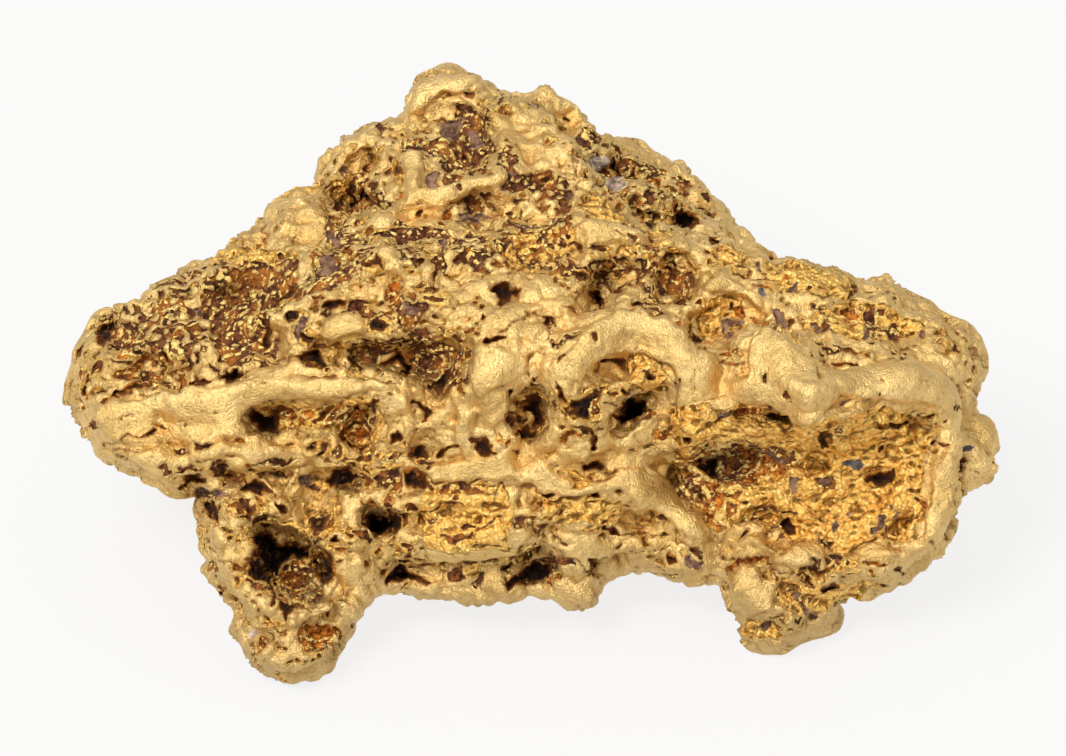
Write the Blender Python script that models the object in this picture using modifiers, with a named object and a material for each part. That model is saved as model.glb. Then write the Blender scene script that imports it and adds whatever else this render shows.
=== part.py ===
"""A natural gold nugget: one worn, spongy lump of gold that stands on two front feet and a broad heel.

The nugget is laid out on a drawing sheet that is square to the line of sight of its best side, which looks
down on it from LOOK_DOWN degrees. A place on that side is (x, y, depth) in millimetres: x to the right and
y down from the sheet's top left corner, and depth behind the sheet, along the line of sight through (x, y).
The row frame has +Z up, +Y away from the viewer, and its origin under the middle of the nugget, on the
plane that the feet stand on.
"""

import math

import bmesh
import bpy
import numpy as np
from mathutils import Matrix, Vector
from mathutils.bvhtree import BVHTree

# Driving dimensions, in millimetres and degrees.
SHEET_CENTRE = (10.66, 7.56)
LOOK_DOWN = 38.0
EYE_DISTANCE = 250.0
FEET_HEIGHT = -4.45  # the plane of the feet, measured up from the sheet's centre
WORN_FLAT = 0.1  # how much of each foot is worn away to a flat
RIDGE_CLEARANCE = 1.2  # the seeded ridges of the hidden sides stay this far above the plane of the feet
PIT_CLEARANCE = 0.6  # and their pits this far
TRIANGLES = 9400

# Steps of the making, in millimetres.
CORE_VOXEL = 0.16
SKIN_VOXEL = 0.13
CHAIN_STEP = 0.4  # spacing of the beads of a ridge, as a share of their radius

MM = 0.001
NAME = "gold_nugget"
SEED = 7

# The body: (x, y, depth, half width, half height, half depth, turn in degrees) of each lump.
MASSES = [
    (10.2, 7.3, 0.9, 6.6, 3.3, 3.3, 0),
    (5.6, 7.3, 0.9, 3.9, 2.0, 2.4, 24),
    (15.8, 8.2, 0.6, 3.3, 2.7, 2.6, -8),
    (9.6, 4.9, 2.2, 2.7, 2.6, 2.4, 0),
    (12.6, 5.4, 1.9, 2.6, 1.7, 2.6, -24),
    (10.2, 9.8, 0.2, 4.4, 1.9, 1.9, 0),
    (12.2, 7.6, -0.9, 2.6, 1.5, 1.9, 8),
    (16.2, 7.6, -0.9, 2.7, 1.1, 1.7, -6),
]
LEFT_END = [
    (2.44, 7.62, 0.8, 1.18, 1.10, 1.4, 0),
    (2.45, 7.02, 1.0, 0.78, 0.82, 1.1, 0),
    (3.45, 6.95, 0.8, 1.25, 1.10, 1.5, 25),
    (2.36, 8.38, 0.2, 0.98, 0.88, 1.0, 0),
    (3.20, 8.90, -0.2, 1.15, 0.80, 1.1, -25),
    (4.60, 8.80, -0.2, 1.50, 1.00, 1.3, -15),
]
TOP_EDGE = [
    (4.65, 6.10, 1.2, 1.20, 1.10, 1.5, 35),
    (5.75, 5.35, 1.8, 1.20, 1.15, 1.5, 38),
    (6.50, 4.95, 2.0, 1.10, 1.20, 1.5, 25),
    (7.46, 3.50, 3.1, 1.04, 1.09, 1.2, 35),
    (9.05, 2.40, 3.7, 0.98, 1.20, 1.3, 0),
    (8.20, 3.30, 3.2, 0.80, 1.10, 1.2, 0),
    (10.05, 2.85, 3.4, 1.05, 1.14, 1.3, 0),
    (10.85, 2.98, 3.7, 1.05, 1.04, 1.3, -20),
    (11.50, 3.55, 3.4, 0.95, 1.00, 1.2, 0),
    (12.75, 3.85, 4.2, 1.05, 1.08, 1.2, -20),
    (13.55, 4.55, 3.9, 1.04, 1.05, 1.2, -35),
    (14.15, 5.40, 2.9, 0.95, 0.95, 1.4, 0),
    (16.00, 6.40, 0.3, 2.10, 1.15, 1.5, -14),
    (17.65, 6.62, 0.5, 1.15, 1.05, 1.3, -10),
    (18.76, 7.22, 0.3, 0.99, 0.96, 1.1, 0),
    (18.76, 8.05, 0.0, 0.82, 0.75, 1.0, 0),
]
RIGHT_END = [
    (19.24, 9.06, -0.2, 0.76, 0.78, 0.8, 0),
    (18.55, 9.20, -0.4, 0.80, 0.90, 1.0, 0),
    (18.20, 10.35, -0.5, 0.92, 1.10, 1.0, -8),
    (17.40, 11.05, -0.4, 0.98, 0.92, 1.0, 20),
    (16.20, 10.90, -0.3, 1.20, 0.95, 1.1, 8),
]
UNDERSIDE = [
    (13.30, 10.60, -0.1, 1.30, 0.92, 1.1, 0),
    (11.65, 11.42, 0.1, 0.62, 0.75, 0.8, 0),
    (10.20, 11.15, 0.1, 1.20, 0.96, 1.0, 0),
    (8.70, 11.05, 0.0, 1.20, 0.94, 1.0, 0),
    (7.30, 10.90, -0.2, 0.90, 0.90, 1.0, 0),
]
FEET = [
    (5.02, 10.45, -0.6, 1.02, 1.00, 1.1, 0),
    (5.40, 11.35, -0.6, 1.24, 1.08, 1.2, -20),
    (6.30, 11.20, -0.5, 1.00, 1.10, 1.1, 20),
    (5.84, 12.50, -0.75, 1.24, 1.23, 1.15, 10),
    (15.25, 11.45, -0.1, 0.98, 0.95, 1.0, 0),
    (15.42, 12.28, 0.0, 0.84, 0.92, 0.95, 0),
    (16.12, 12.22, 0.2, 0.62, 0.64, 0.8, 0),
]
BACK = [
    (8.00, 7.95, 5.0, 1.40, 1.20, 1.3, 0),
    (13.40, 7.75, 5.4, 1.30, 1.15, 1.25, 0),
    (10.60, 6.90, 5.2, 2.10, 1.70, 1.6, 0),
    (5.40, 7.70, 3.3, 1.90, 1.50, 1.6, 15),
    (15.80, 7.60, 3.4, 2.10, 1.60, 1.7, -10),
    (11.20, 5.20, 4.6, 2.40, 1.50, 1.7, 0),
    (17.60, 8.20, 1.8, 1.40, 1.30, 1.4, 0),
    (12.60, 9.30, 3.0, 2.00, 1.10, 1.5, 0),
    (8.20, 9.30, 2.6, 2.00, 1.10, 1.5, 0),
]

# Ridges: (radius, sink, [(x, y), ...]), laid on the body as seen in the drawing.
# The sink is the share of the radius that lies in the body.
RIDGES = [
    # The shelf along the left, and the bars that hang from it.
    (0.46, 0.0, [(2.3, 8.35), (3.0, 8.1), (4.0, 8.0), (5.0, 7.75), (6.0, 7.6), (7.0, 7.75), (7.8, 7.85)]),
    (0.34, 0.1, [(7.8, 7.8), (8.2, 8.2), (8.0, 8.8), (8.4, 9.3), (9.2, 9.3)]),
    (0.30, 0.1, [(6.1, 8.0), (6.3, 8.7), (6.6, 9.1), (7.4, 9.2), (8.2, 9.2)]),
    (0.34, 0.1, [(2.5, 8.9), (3.3, 9.2), (4.3, 9.1), (5.3, 9.1), (6.2, 9.3)]),
    (0.26, 0.1, [(4.5, 8.1), (4.7, 8.7), (5.3, 8.9), (5.9, 8.7)]),
    # The rim over the cave and the outer skin of the left foot.
    (0.30, 0.1, [(5.4, 9.9), (6.3, 10.1), (6.9, 10.6), (7.1, 11.2), (7.2, 11.7)]),
    (0.30, 0.1, [(4.5, 10.2), (4.6, 11.0), (4.9, 11.7), (5.5, 12.2), (6.3, 12.2), (6.9, 12.0)]),
    (0.34, 0.1, [(5.2, 13.0), (5.9, 13.1), (6.5, 12.9)]),
    # Bars across the lower front.
    (0.26, 0.1, [(6.9, 10.0), (7.6, 10.0), (8.4, 10.0), (9.2, 9.9), (10.2, 9.7)]),
    (0.30, 0.1, [(7.9, 10.8), (8.9, 10.8), (9.8, 10.6), (10.8, 10.3), (11.7, 10.4)]),
    (0.28, 0.1, [(7.6, 11.6), (8.8, 11.7), (10.0, 11.8), (11.0, 11.8), (11.8, 11.8)]),
    (0.26, 0.1, [(9.4, 11.2), (10.3, 10.9), (11.2, 11.0), (11.8, 11.5)]),
    # The middle: a ball with an arm, and bars round the dark holes.
    (0.52, 0.0, [(9.8, 7.6), (10.0, 7.1), (10.5, 6.8)]),
    (0.34, 0.1, [(9.7, 7.8), (9.8, 8.5), (10.0, 9.1), (10.5, 9.4)]),
    (0.36, 0.1, [(8.6, 9.5), (9.5, 9.3), (10.5, 9.35), (11.5, 9.7), (12.6, 9.8), (13.4, 10.2), (13.9, 10.8)]),
    (0.34, 0.0, [(11.0, 7.6), (11.5, 8.0), (11.6, 8.6), (11.2, 9.1)]),
    (0.28, 0.1, [(12.0, 8.7), (12.6, 9.0), (13.4, 8.7), (13.9, 8.2)]),
    # The great bent ridge over the bowl.
    (0.48, -0.1, [(11.3, 7.3), (11.8, 6.8), (12.4, 6.45), (13.0, 6.5), (13.6, 7.0), (14.0, 7.5)]),
    (0.42, -0.1, [(14.0, 7.5), (13.9, 8.0), (14.6, 7.9), (15.2, 7.6)]),
    (0.56, -0.2, [(15.1, 6.95), (15.6, 7.15), (15.9, 7.6), (16.3, 8.0)]),
    (0.40, 0.0, [(14.9, 7.4), (15.5, 8.0), (16.3, 8.1)]),
    (0.48, 0.0, [(16.4, 7.8), (17.3, 7.9), (18.1, 7.7), (18.7, 8.1), (18.75, 8.9), (18.7, 9.8), (18.4, 10.7)]),
    (0.36, 0.1, [(18.4, 10.8), (17.6, 11.2), (16.8, 11.3)]),
    (0.36, 0.0, [(14.6, 10.8), (15.4, 10.9), (16.1, 11.3), (16.5, 11.8)]),
    (0.32, 0.0, [(14.8, 11.5), (15.3, 12.0), (15.9, 12.15), (16.3, 12.0)]),
    # The peak: two knobs with a valley between them, and the T below.
    (0.32, 0.0, [(6.7, 3.5), (7.0, 3.0), (7.6, 2.85), (7.9, 3.1)]),
    (0.36, 0.0, [(8.5, 2.1), (8.8, 1.8), (9.3, 1.8)]),
    (0.32, 0.0, [(8.3, 3.0), (8.35, 3.6), (8.2, 4.2), (7.7, 4.5)]),
    (0.28, 0.0, [(8.3, 3.9), (9.2, 3.75), (10.1, 3.5)]),
    (0.48, 0.0, [(9.9, 2.4), (10.6, 2.5), (11.1, 3.1), (11.3, 3.8)]),
    (0.34, 0.0, [(10.7, 2.0), (11.3, 2.2), (11.8, 2.9)]),
    # The far slab on the right, and its broken front.
    (0.38, 0.0, [(11.4, 4.6), (12.1, 4.7), (12.9, 4.95), (13.7, 5.0), (14.5, 5.2)]),
    (0.34, 0.0, [(14.0, 5.8), (14.6, 5.7), (15.1, 6.0), (15.4, 6.4)]),
    (0.30, 0.0, [(12.0, 5.2), (12.9, 5.5), (13.0, 6.0)]),
    (0.30, 0.3, [(14.6, 5.2), (15.6, 5.6), (16.8, 6.0), (17.8, 6.15), (18.6, 6.7), (19.1, 7.3)]),
    (0.26, 0.1, [(15.9, 6.2), (16.8, 6.6), (17.8, 6.8), (18.6, 7.2)]),
    # The upper left, rising to the peak.
    (0.34, 0.3, [(4.2, 5.75), (5.0, 5.25), (5.8, 4.8), (6.4, 4.35)]),
    (0.34, 0.0, [(6.1, 6.1), (6.8, 5.8), (7.5, 5.5), (8.0, 5.2), (8.6, 5.6)]),
    (0.32, 0.0, [(5.7, 6.4), (6.4, 6.6), (7.2, 6.5), (7.9, 6.3), (7.9, 6.8)]),
    (0.32, 0.0, [(8.6, 6.1), (9.2, 6.2), (9.1, 6.7)]),
    (0.30, 0.0, [(9.6, 6.6), (10.2, 6.3), (10.9, 6.0), (11.3, 6.2)]),
    (0.26, 0.1, [(2.6, 7.2), (3.3, 6.9), (4.2, 7.0), (4.3, 7.4)]),
]

# Hollows: (x, y, half width, half height, depth, turn, slope), sunk along the line of sight.
HOLLOWS = [
    (16.25, 9.70, 2.55, 1.35, 0.90, -6, 0.8),
    (15.30, 9.10, 1.50, 0.60, 0.55, -6, 0.4),
    (17.40, 8.75, 1.10, 0.40, 0.40, 0, 0.4),
    (14.60, 9.20, 0.62, 0.38, 0.80, 10, 0.35),
    (17.60, 9.60, 0.30, 0.18, 0.40, 0, 0.35),
    (8.10, 7.18, 1.05, 0.38, 1.10, -10, 0.35),
    (8.80, 7.60, 0.35, 0.30, 0.80, 0, 0.35),
    (6.60, 7.08, 0.55, 0.22, 0.50, 0, 0.35),
    (4.70, 7.35, 0.50, 0.25, 0.60, -10, 0.35),
    (3.40, 7.50, 0.80, 0.22, 0.50, 12, 0.35),
    (4.95, 5.90, 1.00, 0.45, 0.70, 28, 0.5),
    (4.80, 6.75, 0.90, 0.36, 0.60, -8, 0.5),
    (5.80, 11.15, 0.85, 0.60, 1.60, -35, 0.35),
    (6.40, 11.70, 0.45, 0.40, 0.70, 0, 0.35),
    (7.60, 10.42, 0.40, 0.28, 1.00, 0, 0.35),
    (7.00, 9.55, 0.45, 0.20, 0.80, -10, 0.35),
    (8.30, 9.68, 0.40, 0.18, 0.70, -20, 0.35),
    (5.30, 8.42, 0.42, 0.28, 0.60, -25, 0.35),
    (7.15, 8.55, 0.38, 0.42, 0.60, 0, 0.35),
    (8.45, 8.15, 0.22, 0.30, 0.60, 0, 0.35),
    (10.65, 8.30, 0.32, 0.52, 0.90, 0, 0.35),
    (10.55, 9.00, 0.30, 0.20, 0.40, 0, 0.35),
    (12.65, 8.12, 0.50, 0.36, 1.20, 20, 0.35),
    (12.25, 7.35, 0.45, 0.20, 0.50, 25, 0.35),
    (11.80, 9.28, 0.30, 0.18, 0.60, 0, 0.35),
    (12.00, 5.95, 0.30, 0.38, 1.10, 20, 0.35),
    (12.40, 5.42, 0.60, 0.32, 0.70, 0, 0.35),
    (13.50, 5.65, 0.55, 0.42, 0.80, 0, 0.35),
    (14.10, 6.60, 0.35, 0.40, 0.60, 0, 0.35),
    (14.70, 6.50, 0.45, 0.22, 0.50, 20, 0.35),
    (7.05, 4.08, 0.70, 0.30, 1.20, -5, 0.35),
    (7.10, 3.45, 0.45, 0.25, 0.35, -40, 0.5),
    (9.40, 2.80, 0.45, 0.85, 0.90, 15, 0.5),
    (9.70, 4.30, 1.00, 0.32, 0.60, -8, 0.5),
    (8.30, 4.80, 0.80, 0.30, 0.60, -8, 0.5),
    (9.20, 3.30, 0.70, 0.22, 0.50, -5, 0.35),
    (10.60, 5.10, 0.70, 0.40, 0.50, -15, 0.6),
    (8.90, 5.50, 0.45, 0.30, 0.50, 0, 0.5),
    (7.50, 6.10, 0.45, 0.20, 0.50, 10, 0.4),
    (12.30, 3.45, 0.28, 0.48, 1.00, -20, 0.35),
    (12.95, 4.15, 0.48, 0.32, 1.10, -20, 0.35),
    (13.70, 4.50, 0.38, 0.28, 1.10, -35, 0.35),
    (10.10, 5.88, 0.30, 0.24, 0.70, 0, 0.35),
    (9.20, 7.00, 0.30, 0.35, 0.50, 20, 0.35),
    (8.30, 11.45, 0.50, 0.24, 0.70, -10, 0.35),
    (10.80, 11.25, 0.45, 0.36, 0.80, 0, 0.35),
    (9.10, 10.30, 0.60, 0.20, 0.40, -14, 0.5),
    (6.40, 12.55, 0.38, 0.26, 0.50, 10, 0.35),
    (5.20, 12.65, 0.35, 0.16, 0.50, -25, 0.35),
    (4.25, 10.15, 0.32, 0.26, 0.60, -30, 0.35),
    (4.80, 9.75, 0.50, 0.20, 0.50, -30, 0.35),
    (2.35, 6.65, 0.32, 0.34, 0.50, 20, 0.35),
    (15.20, 12.60, 0.40, 0.20, 0.40, 0, 0.5),
    (15.90, 11.70, 0.30, 0.20, 0.30, 0, 0.5),
]


def sight_axes():
    """Right, up and forward of the drawing sheet, in the row frame."""
    down = math.radians(LOOK_DOWN)
    right = Vector((1, 0, 0))
    up = Vector((0, math.sin(down), math.cos(down)))
    forward = Vector((0, math.cos(down), -math.sin(down)))
    return right, up, forward


RIGHT, UP, FORWARD = sight_axes()


def place(x, y, depth):
    """The point at depth behind the sheet, on the line from the eye through (x, y). In millimetres."""
    spread = (EYE_DISTANCE + depth) / EYE_DISTANCE
    across = (x - SHEET_CENTRE[0]) * spread
    rise = (SHEET_CENTRE[1] - y) * spread
    return RIGHT * across + UP * rise + FORWARD * depth


def sheet_turn(turn):
    """Rotation that lines a shape up with the sheet, turned anticlockwise on it by turn degrees."""
    sheet = Matrix((RIGHT, UP, -FORWARD)).transposed()
    return (sheet @ Matrix.Rotation(math.radians(turn), 3, "Z")).to_4x4()


def add_lump(bm, centre, half_sizes, turn=0.0, subdivisions=3):
    """Adds one ellipsoid to the bmesh."""
    wide, high, deep = half_sizes
    matrix = Matrix.Translation(centre) @ sheet_turn(turn) @ Matrix.Diagonal((wide, high, deep, 1.0))
    ball = bmesh.new()
    bmesh.ops.create_icosphere(ball, subdivisions=subdivisions, radius=1.0, matrix=matrix)
    mesh = bpy.data.meshes.new("lump")
    ball.to_mesh(mesh)
    ball.free()
    bm.from_mesh(mesh)
    bpy.data.meshes.remove(mesh)


def object_from(bm, name, collection):
    """Makes the bmesh a named object in a collection."""
    mesh = bpy.data.meshes.new(name)
    bm.to_mesh(mesh)
    bm.free()
    made = bpy.data.objects.new(name, mesh)
    collection.objects.link(made)
    return made


def fuse(obj, voxel, smoothing):
    """Joins everything in the object into one skin, and softens the creases between its lumps."""
    remesh = obj.modifiers.new("fuse", "REMESH")
    remesh.mode = "VOXEL"
    remesh.voxel_size = voxel
    smooth = obj.modifiers.new("soften", "SMOOTH")
    smooth.factor = 0.5
    smooth.iterations = smoothing
    apply_modifiers(obj)


def apply_modifiers(obj):
    """Replaces the object's mesh by its evaluated one and clears its modifiers."""
    graph = bpy.context.evaluated_depsgraph_get()
    mesh = bpy.data.meshes.new_from_object(obj.evaluated_get(graph))
    obj.modifiers.clear()
    obj.data = mesh


def coordinates(obj):
    """The object's vertices as an array."""
    points = np.empty(len(obj.data.vertices) * 3)
    obj.data.vertices.foreach_get("co", points)
    return points.reshape(-1, 3)


def set_coordinates(obj, points):
    """Writes the array back to the object's vertices."""
    obj.data.vertices.foreach_set("co", points.ravel())
    obj.data.update()


def smooth_path(points, step):
    """Points every step along a Catmull-Rom curve through the given (x, y) points."""
    ends = [points[0], *points, points[-1]]
    path = []
    for before, start, end, after in zip(ends, ends[1:], ends[2:], ends[3:]):
        before, start, end, after = (np.array(p) for p in (before, start, end, after))
        count = max(1, math.ceil(np.linalg.norm(end - start) / step))
        for t in np.arange(count) / count:
            bend = (end - before) * t + (2 * before - 5 * start + 4 * end - after) * t**2
            path.append(start + 0.5 * (bend + (3 * start - before - 3 * end + after) * t**3))
    return [*path, np.array(points[-1])]


def add_ridges(bm, body):
    """Lays a string of beads along each ridge, on the front of the body."""
    surface = BVHTree.FromObject(body, bpy.context.evaluated_depsgraph_get())
    eye = -FORWARD * EYE_DISTANCE
    for radius, sink, points in RIDGES:
        for x, y in smooth_path(points, CHAIN_STEP * radius):
            sight = (place(x, y, 0) - eye).normalized()
            hit = surface.ray_cast(eye, sight)[0]
            if hit is not None:
                add_lump(bm, hit + sight * radius * sink, (radius, radius, radius), subdivisions=2)


def sink_hollow(points, hollow):
    """Pushes the points in front of a hollow back along the line of sight. Its rim wanders, and its wall is
    steep when the slope is near 0 and gentle when it is near 1."""
    x, y, wide, high, depth, turn, slope = hollow
    to_sheet = np.array(sheet_turn(turn).to_3x3())
    local = (points - np.array(place(x, y, 0))) @ to_sheet
    around = np.arctan2(local[:, 1] / high, local[:, 0] / wide)
    wander = 0.14 * np.sin(2 * around + 7 * x) + 0.12 * np.sin(3 * around + 5 * y) + 0.1 * np.sin(5 * around + x)
    reach = (local[:, 0] / wide) ** 2 + (local[:, 1] / high) ** 2
    reach = reach / (1 + wander) ** 2
    inside = reach < 1
    front = local[inside, 2].max() if inside.any() else 0.0
    near = inside & (local[:, 2] > front - 2.5)
    floor = depth * (1 - reach[near]) ** slope
    points[near] -= floor[:, None] * to_sheet[:, 2]


def vertex_normals(obj):
    """The object's vertex normals as an array."""
    normals = np.empty(len(obj.data.vertices) * 3)
    obj.data.vertices.foreach_get("normal", normals)
    return normals.reshape(-1, 3)


def lattice(cells, salt):
    """Three numbers from 0 to 1 for each cell of a grid, the same on every run."""
    mix = np.array(((12.9898, 39.346, 73.156), (78.233, 11.135, 52.235), (37.719, 83.155, 9.151)))
    return np.modf(np.sin(cells @ mix + salt) * 43758.5453)[0] % 1


def drift(points, size, salt):
    """A smooth random displacement, from -1 to 1 along each axis, that varies over size."""
    cells = np.floor(points / size)
    part = points / size - cells
    part = part * part * (3 - 2 * part)
    total = np.zeros_like(points)
    for corner in np.ndindex(2, 2, 2):
        weight = np.where(corner, part, 1 - part).prod(1)
        total += weight[:, None] * lattice(cells + corner, salt)
    return total * 2 - 1


def nodules(points, size, salt):
    """Height of a skin of round nodules that meet in creases: half on top of one, below 0 in a crease."""
    spots = points / size + drift(points, size * 1.1, salt) * 0.35
    cells = np.floor(spots)
    nearest = np.full(len(points), 9.0)
    for corner in np.ndindex(3, 3, 3):
        cell = cells + corner - 1
        nearest = np.minimum(nearest, ((spots - cell - lattice(cell, salt)) ** 2).sum(1))
    return 0.5 - 1.6 * nearest


def roughen(obj):
    """Covers the body with nodules in two sizes, bolder on the sides that are hidden from the drawing."""
    points = coordinates(obj)
    normals = vertex_normals(obj)
    hidden = np.clip(normals @ np.array(FORWARD) * 2, 0, 1)
    height = nodules(points, 1.9, SEED) * (0.05 + 0.17 * hidden)
    height += nodules(points, 0.85, SEED + 5) * (0.09 + 0.04 * hidden)
    set_coordinates(obj, points + normals * height[:, None])


def spread_sites(points, normals, allowed, count, spacing, salt):
    """Up to count of the allowed vertices, at least spacing apart: each one's place, normal and dice."""
    draw = lattice(np.round(points * 50), salt)[:, 0]
    chosen = []
    for i in np.argsort(draw):
        if allowed[i] and (not chosen or (np.linalg.norm(points[chosen] - points[i], axis=1) > spacing).all()):
            chosen.append(i)
            if len(chosen) == count:
                break
    return [(points[i].copy(), normals[i], np.random.default_rng(int(draw[i] * 1e9))) for i in chosen]


def hidden_sites(obj, turned_away, clearance, count, spacing, salt):
    """Sites on the sides that are turned away from the drawing, with clearance above the plane of the feet."""
    points = coordinates(obj)
    normals = vertex_normals(obj)
    hidden = (normals @ np.array(FORWARD) > turned_away) & (points[:, 2] > FEET_HEIGHT + clearance)
    return spread_sites(points, normals, hidden, count, spacing, salt)


def add_hidden_ridges(bm, body):
    """Lays short bent ridges of beads all over the hidden sides."""
    surface = BVHTree.FromObject(body, bpy.context.evaluated_depsgraph_get())
    for start, normal, dice in hidden_sites(body, 0.25, RIDGE_CLEARANCE, 70, 1.5, SEED):
        at = Vector(start)
        heading = Vector(dice.normal(size=3)).cross(Vector(normal)).normalized()
        radius = dice.uniform(0.35, 0.6)
        bend = dice.uniform(-0.5, 0.5)
        for _ in range(dice.integers(3, 9)):
            at, normal, _, _ = surface.find_nearest(at + heading * radius * 0.6)
            if normal.dot(FORWARD) < 0.25 or at.z < FEET_HEIGHT + RIDGE_CLEARANCE:
                break
            heading = (heading + heading.cross(normal) * bend).normalized()
            add_lump(bm, at - normal * radius * 0.2, (radius, radius, radius), subdivisions=2)


def press_pits(points, sites, smallest, largest):
    """Presses round pits into the points, square to the surface at each site."""
    for centre, normal, dice in sites:
        radius = dice.uniform(smallest, largest)
        away = np.linalg.norm(points - centre, axis=1) / radius
        near = away < 1
        points[near] -= normal * (radius * dice.uniform(0.7, 1.2)) * np.sqrt(1 - away[near, None] ** 2)


def relief(obj):
    """How far each vertex stands out from the softened form: above 0 on ridges and below 0 in valleys."""
    soft = obj.copy()
    soft.data = obj.data.copy()
    smooth = soft.modifiers.new("soften", "SMOOTH")
    smooth.factor = 1.0
    smooth.iterations = 25
    bpy.context.scene.collection.objects.link(soft)
    apply_modifiers(soft)
    height = np.einsum("ij,ij->i", coordinates(obj) - coordinates(soft), vertex_normals(obj))
    bpy.data.objects.remove(soft)
    return height


def pit_valleys(obj):
    """Pits the valleys of the drawing's side, and leaves its worn ridges smooth."""
    points = coordinates(obj)
    normals = vertex_normals(obj)
    low = (relief(obj) < -0.015) & (normals @ np.array(FORWARD) < 0)
    press_pits(points, spread_sites(points, normals, low, 150, 0.55, SEED + 2), 0.2, 0.34)
    set_coordinates(obj, points)


def keep_largest(obj):
    """Removes any crumb that isn't part of the main body."""
    bm = bmesh.new()
    bm.from_mesh(obj.data)
    left = set(bm.verts)
    pieces = []
    while left:
        seed = left.pop()
        piece, edge = {seed}, [seed]
        while edge:
            for link in edge.pop().link_edges:
                for vert in link.verts:
                    if vert in left:
                        left.remove(vert)
                        piece.add(vert)
                        edge.append(vert)
        pieces.append(piece)
    largest = max(pieces, key=len)
    for piece in pieces:
        if piece is not largest:
            bmesh.ops.delete(bm, geom=list(piece), context="VERTS")
    bm.to_mesh(obj.data)
    bm.free()


def wear_feet_flat(obj):
    """Cuts the feet off level, so that the nugget stands, and closes the cuts."""
    bm = bmesh.new()
    bm.from_mesh(obj.data)
    level = FEET_HEIGHT + WORN_FLAT
    everything = [*bm.verts, *bm.edges, *bm.faces]
    cut = bmesh.ops.bisect_plane(
        bm, geom=everything, plane_co=(0, 0, level), plane_no=(0, 0, -1), clear_outer=True, dist=1e-5
    )
    rim = [e for e in cut["geom_cut"] if isinstance(e, bmesh.types.BMEdge)]
    bmesh.ops.holes_fill(bm, edges=rim)
    bmesh.ops.triangulate(bm, faces=bm.faces)
    bmesh.ops.recalc_face_normals(bm, faces=bm.faces)
    bm.to_mesh(obj.data)
    bm.free()
    return level


def thin_out(obj, triangles):
    """Brings the skin down to a number of triangles, keeping them where the form bends."""
    obj.data.calc_loop_triangles()
    now = len(obj.data.loop_triangles)
    decimate = obj.modifiers.new("thin", "DECIMATE")
    decimate.ratio = triangles / now
    apply_modifiers(obj)


def gold_material():
    """Worn natural gold."""
    material = bpy.data.materials.new("natural_gold")
    material.use_nodes = True
    shader = material.node_tree.nodes["Principled BSDF"]
    shader.inputs["Base Color"].default_value = (0.86, 0.55, 0.17, 1.0)
    shader.inputs["Metallic"].default_value = 1.0
    shader.inputs["Roughness"].default_value = 0.42
    return material


def move_to_row_frame(obj, level):
    """Puts the origin under the middle of the nugget, on the plane of the feet, and turns mm into metres."""
    points = coordinates(obj)
    low, high = points.min(0), points.max(0)
    middle = (low + high) / 2
    points -= (middle[0], middle[1], level)
    set_coordinates(obj, points * MM)


def build():
    for obj in list(bpy.data.objects):
        bpy.data.objects.remove(obj)
    collection = bpy.data.collections.new(NAME)
    bpy.context.scene.collection.children.link(collection)

    core = bmesh.new()
    for group in (MASSES, LEFT_END, TOP_EDGE, RIGHT_END, UNDERSIDE, FEET, BACK):
        for x, y, depth, wide, high, deep, turn in group:
            add_lump(core, place(x, y, depth), (wide, high, deep), turn)
    nugget = object_from(core, NAME, collection)
    fuse(nugget, CORE_VOXEL, smoothing=6)

    skin = bmesh.new()
    skin.from_mesh(nugget.data)
    add_ridges(skin, nugget)
    add_hidden_ridges(skin, nugget)
    skin.to_mesh(nugget.data)
    skin.free()
    fuse(nugget, SKIN_VOXEL, smoothing=2)

    roughen(nugget)
    points = coordinates(nugget)
    press_pits(points, hidden_sites(nugget, 0.5, PIT_CLEARANCE, 90, 1.1, SEED + 1), 0.35, 0.8)
    for hollow in HOLLOWS:
        sink_hollow(points, hollow)
    set_coordinates(nugget, points)
    fuse(nugget, SKIN_VOXEL, smoothing=2)
    pit_valleys(nugget)
    fuse(nugget, SKIN_VOXEL, smoothing=2)
    keep_largest(nugget)
    thin_out(nugget, TRIANGLES)
    level = wear_feet_flat(nugget)
    move_to_row_frame(nugget, level)

    nugget.data.materials.append(gold_material())
    nugget.data.shade_smooth()
    return nugget


build()
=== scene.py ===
"""Dressed model of a gold nugget: worn gold skin, torn openings, ironstone and quartz in the hollows."""

import math

import bpy
import numpy as np
from mathutils import Matrix, Vector


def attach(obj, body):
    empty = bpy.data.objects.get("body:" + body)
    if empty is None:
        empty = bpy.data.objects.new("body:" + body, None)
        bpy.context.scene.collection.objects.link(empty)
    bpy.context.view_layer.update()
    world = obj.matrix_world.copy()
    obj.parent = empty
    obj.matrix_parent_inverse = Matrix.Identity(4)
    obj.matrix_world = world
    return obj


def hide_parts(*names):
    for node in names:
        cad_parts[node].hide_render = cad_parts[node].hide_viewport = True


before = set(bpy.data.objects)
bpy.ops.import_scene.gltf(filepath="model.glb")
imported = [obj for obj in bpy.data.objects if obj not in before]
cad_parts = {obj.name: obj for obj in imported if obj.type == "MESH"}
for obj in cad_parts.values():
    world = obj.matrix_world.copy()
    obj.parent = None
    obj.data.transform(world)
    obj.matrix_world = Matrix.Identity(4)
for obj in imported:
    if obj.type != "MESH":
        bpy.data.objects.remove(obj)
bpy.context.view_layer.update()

MM = 0.001
SEED = 11  # each field of noise adds its own salt to this

# The sheet: a plane through the nugget that faces the eye, ruled in millimetres, x to the right and y down.
# What is drawn on it lies on the skin that the eye sees through that place.
SHEET_CENTRE = np.array((10.66, 7.56))
SHEET_ORIGIN = np.array((0.026, -1.19, 4.35))  # its centre in the row frame, in millimetres
SHEET_SIZE = (21.32, 15.12)
LOOK_DOWN = 38.0
EYE_DISTANCE = 250.0

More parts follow.
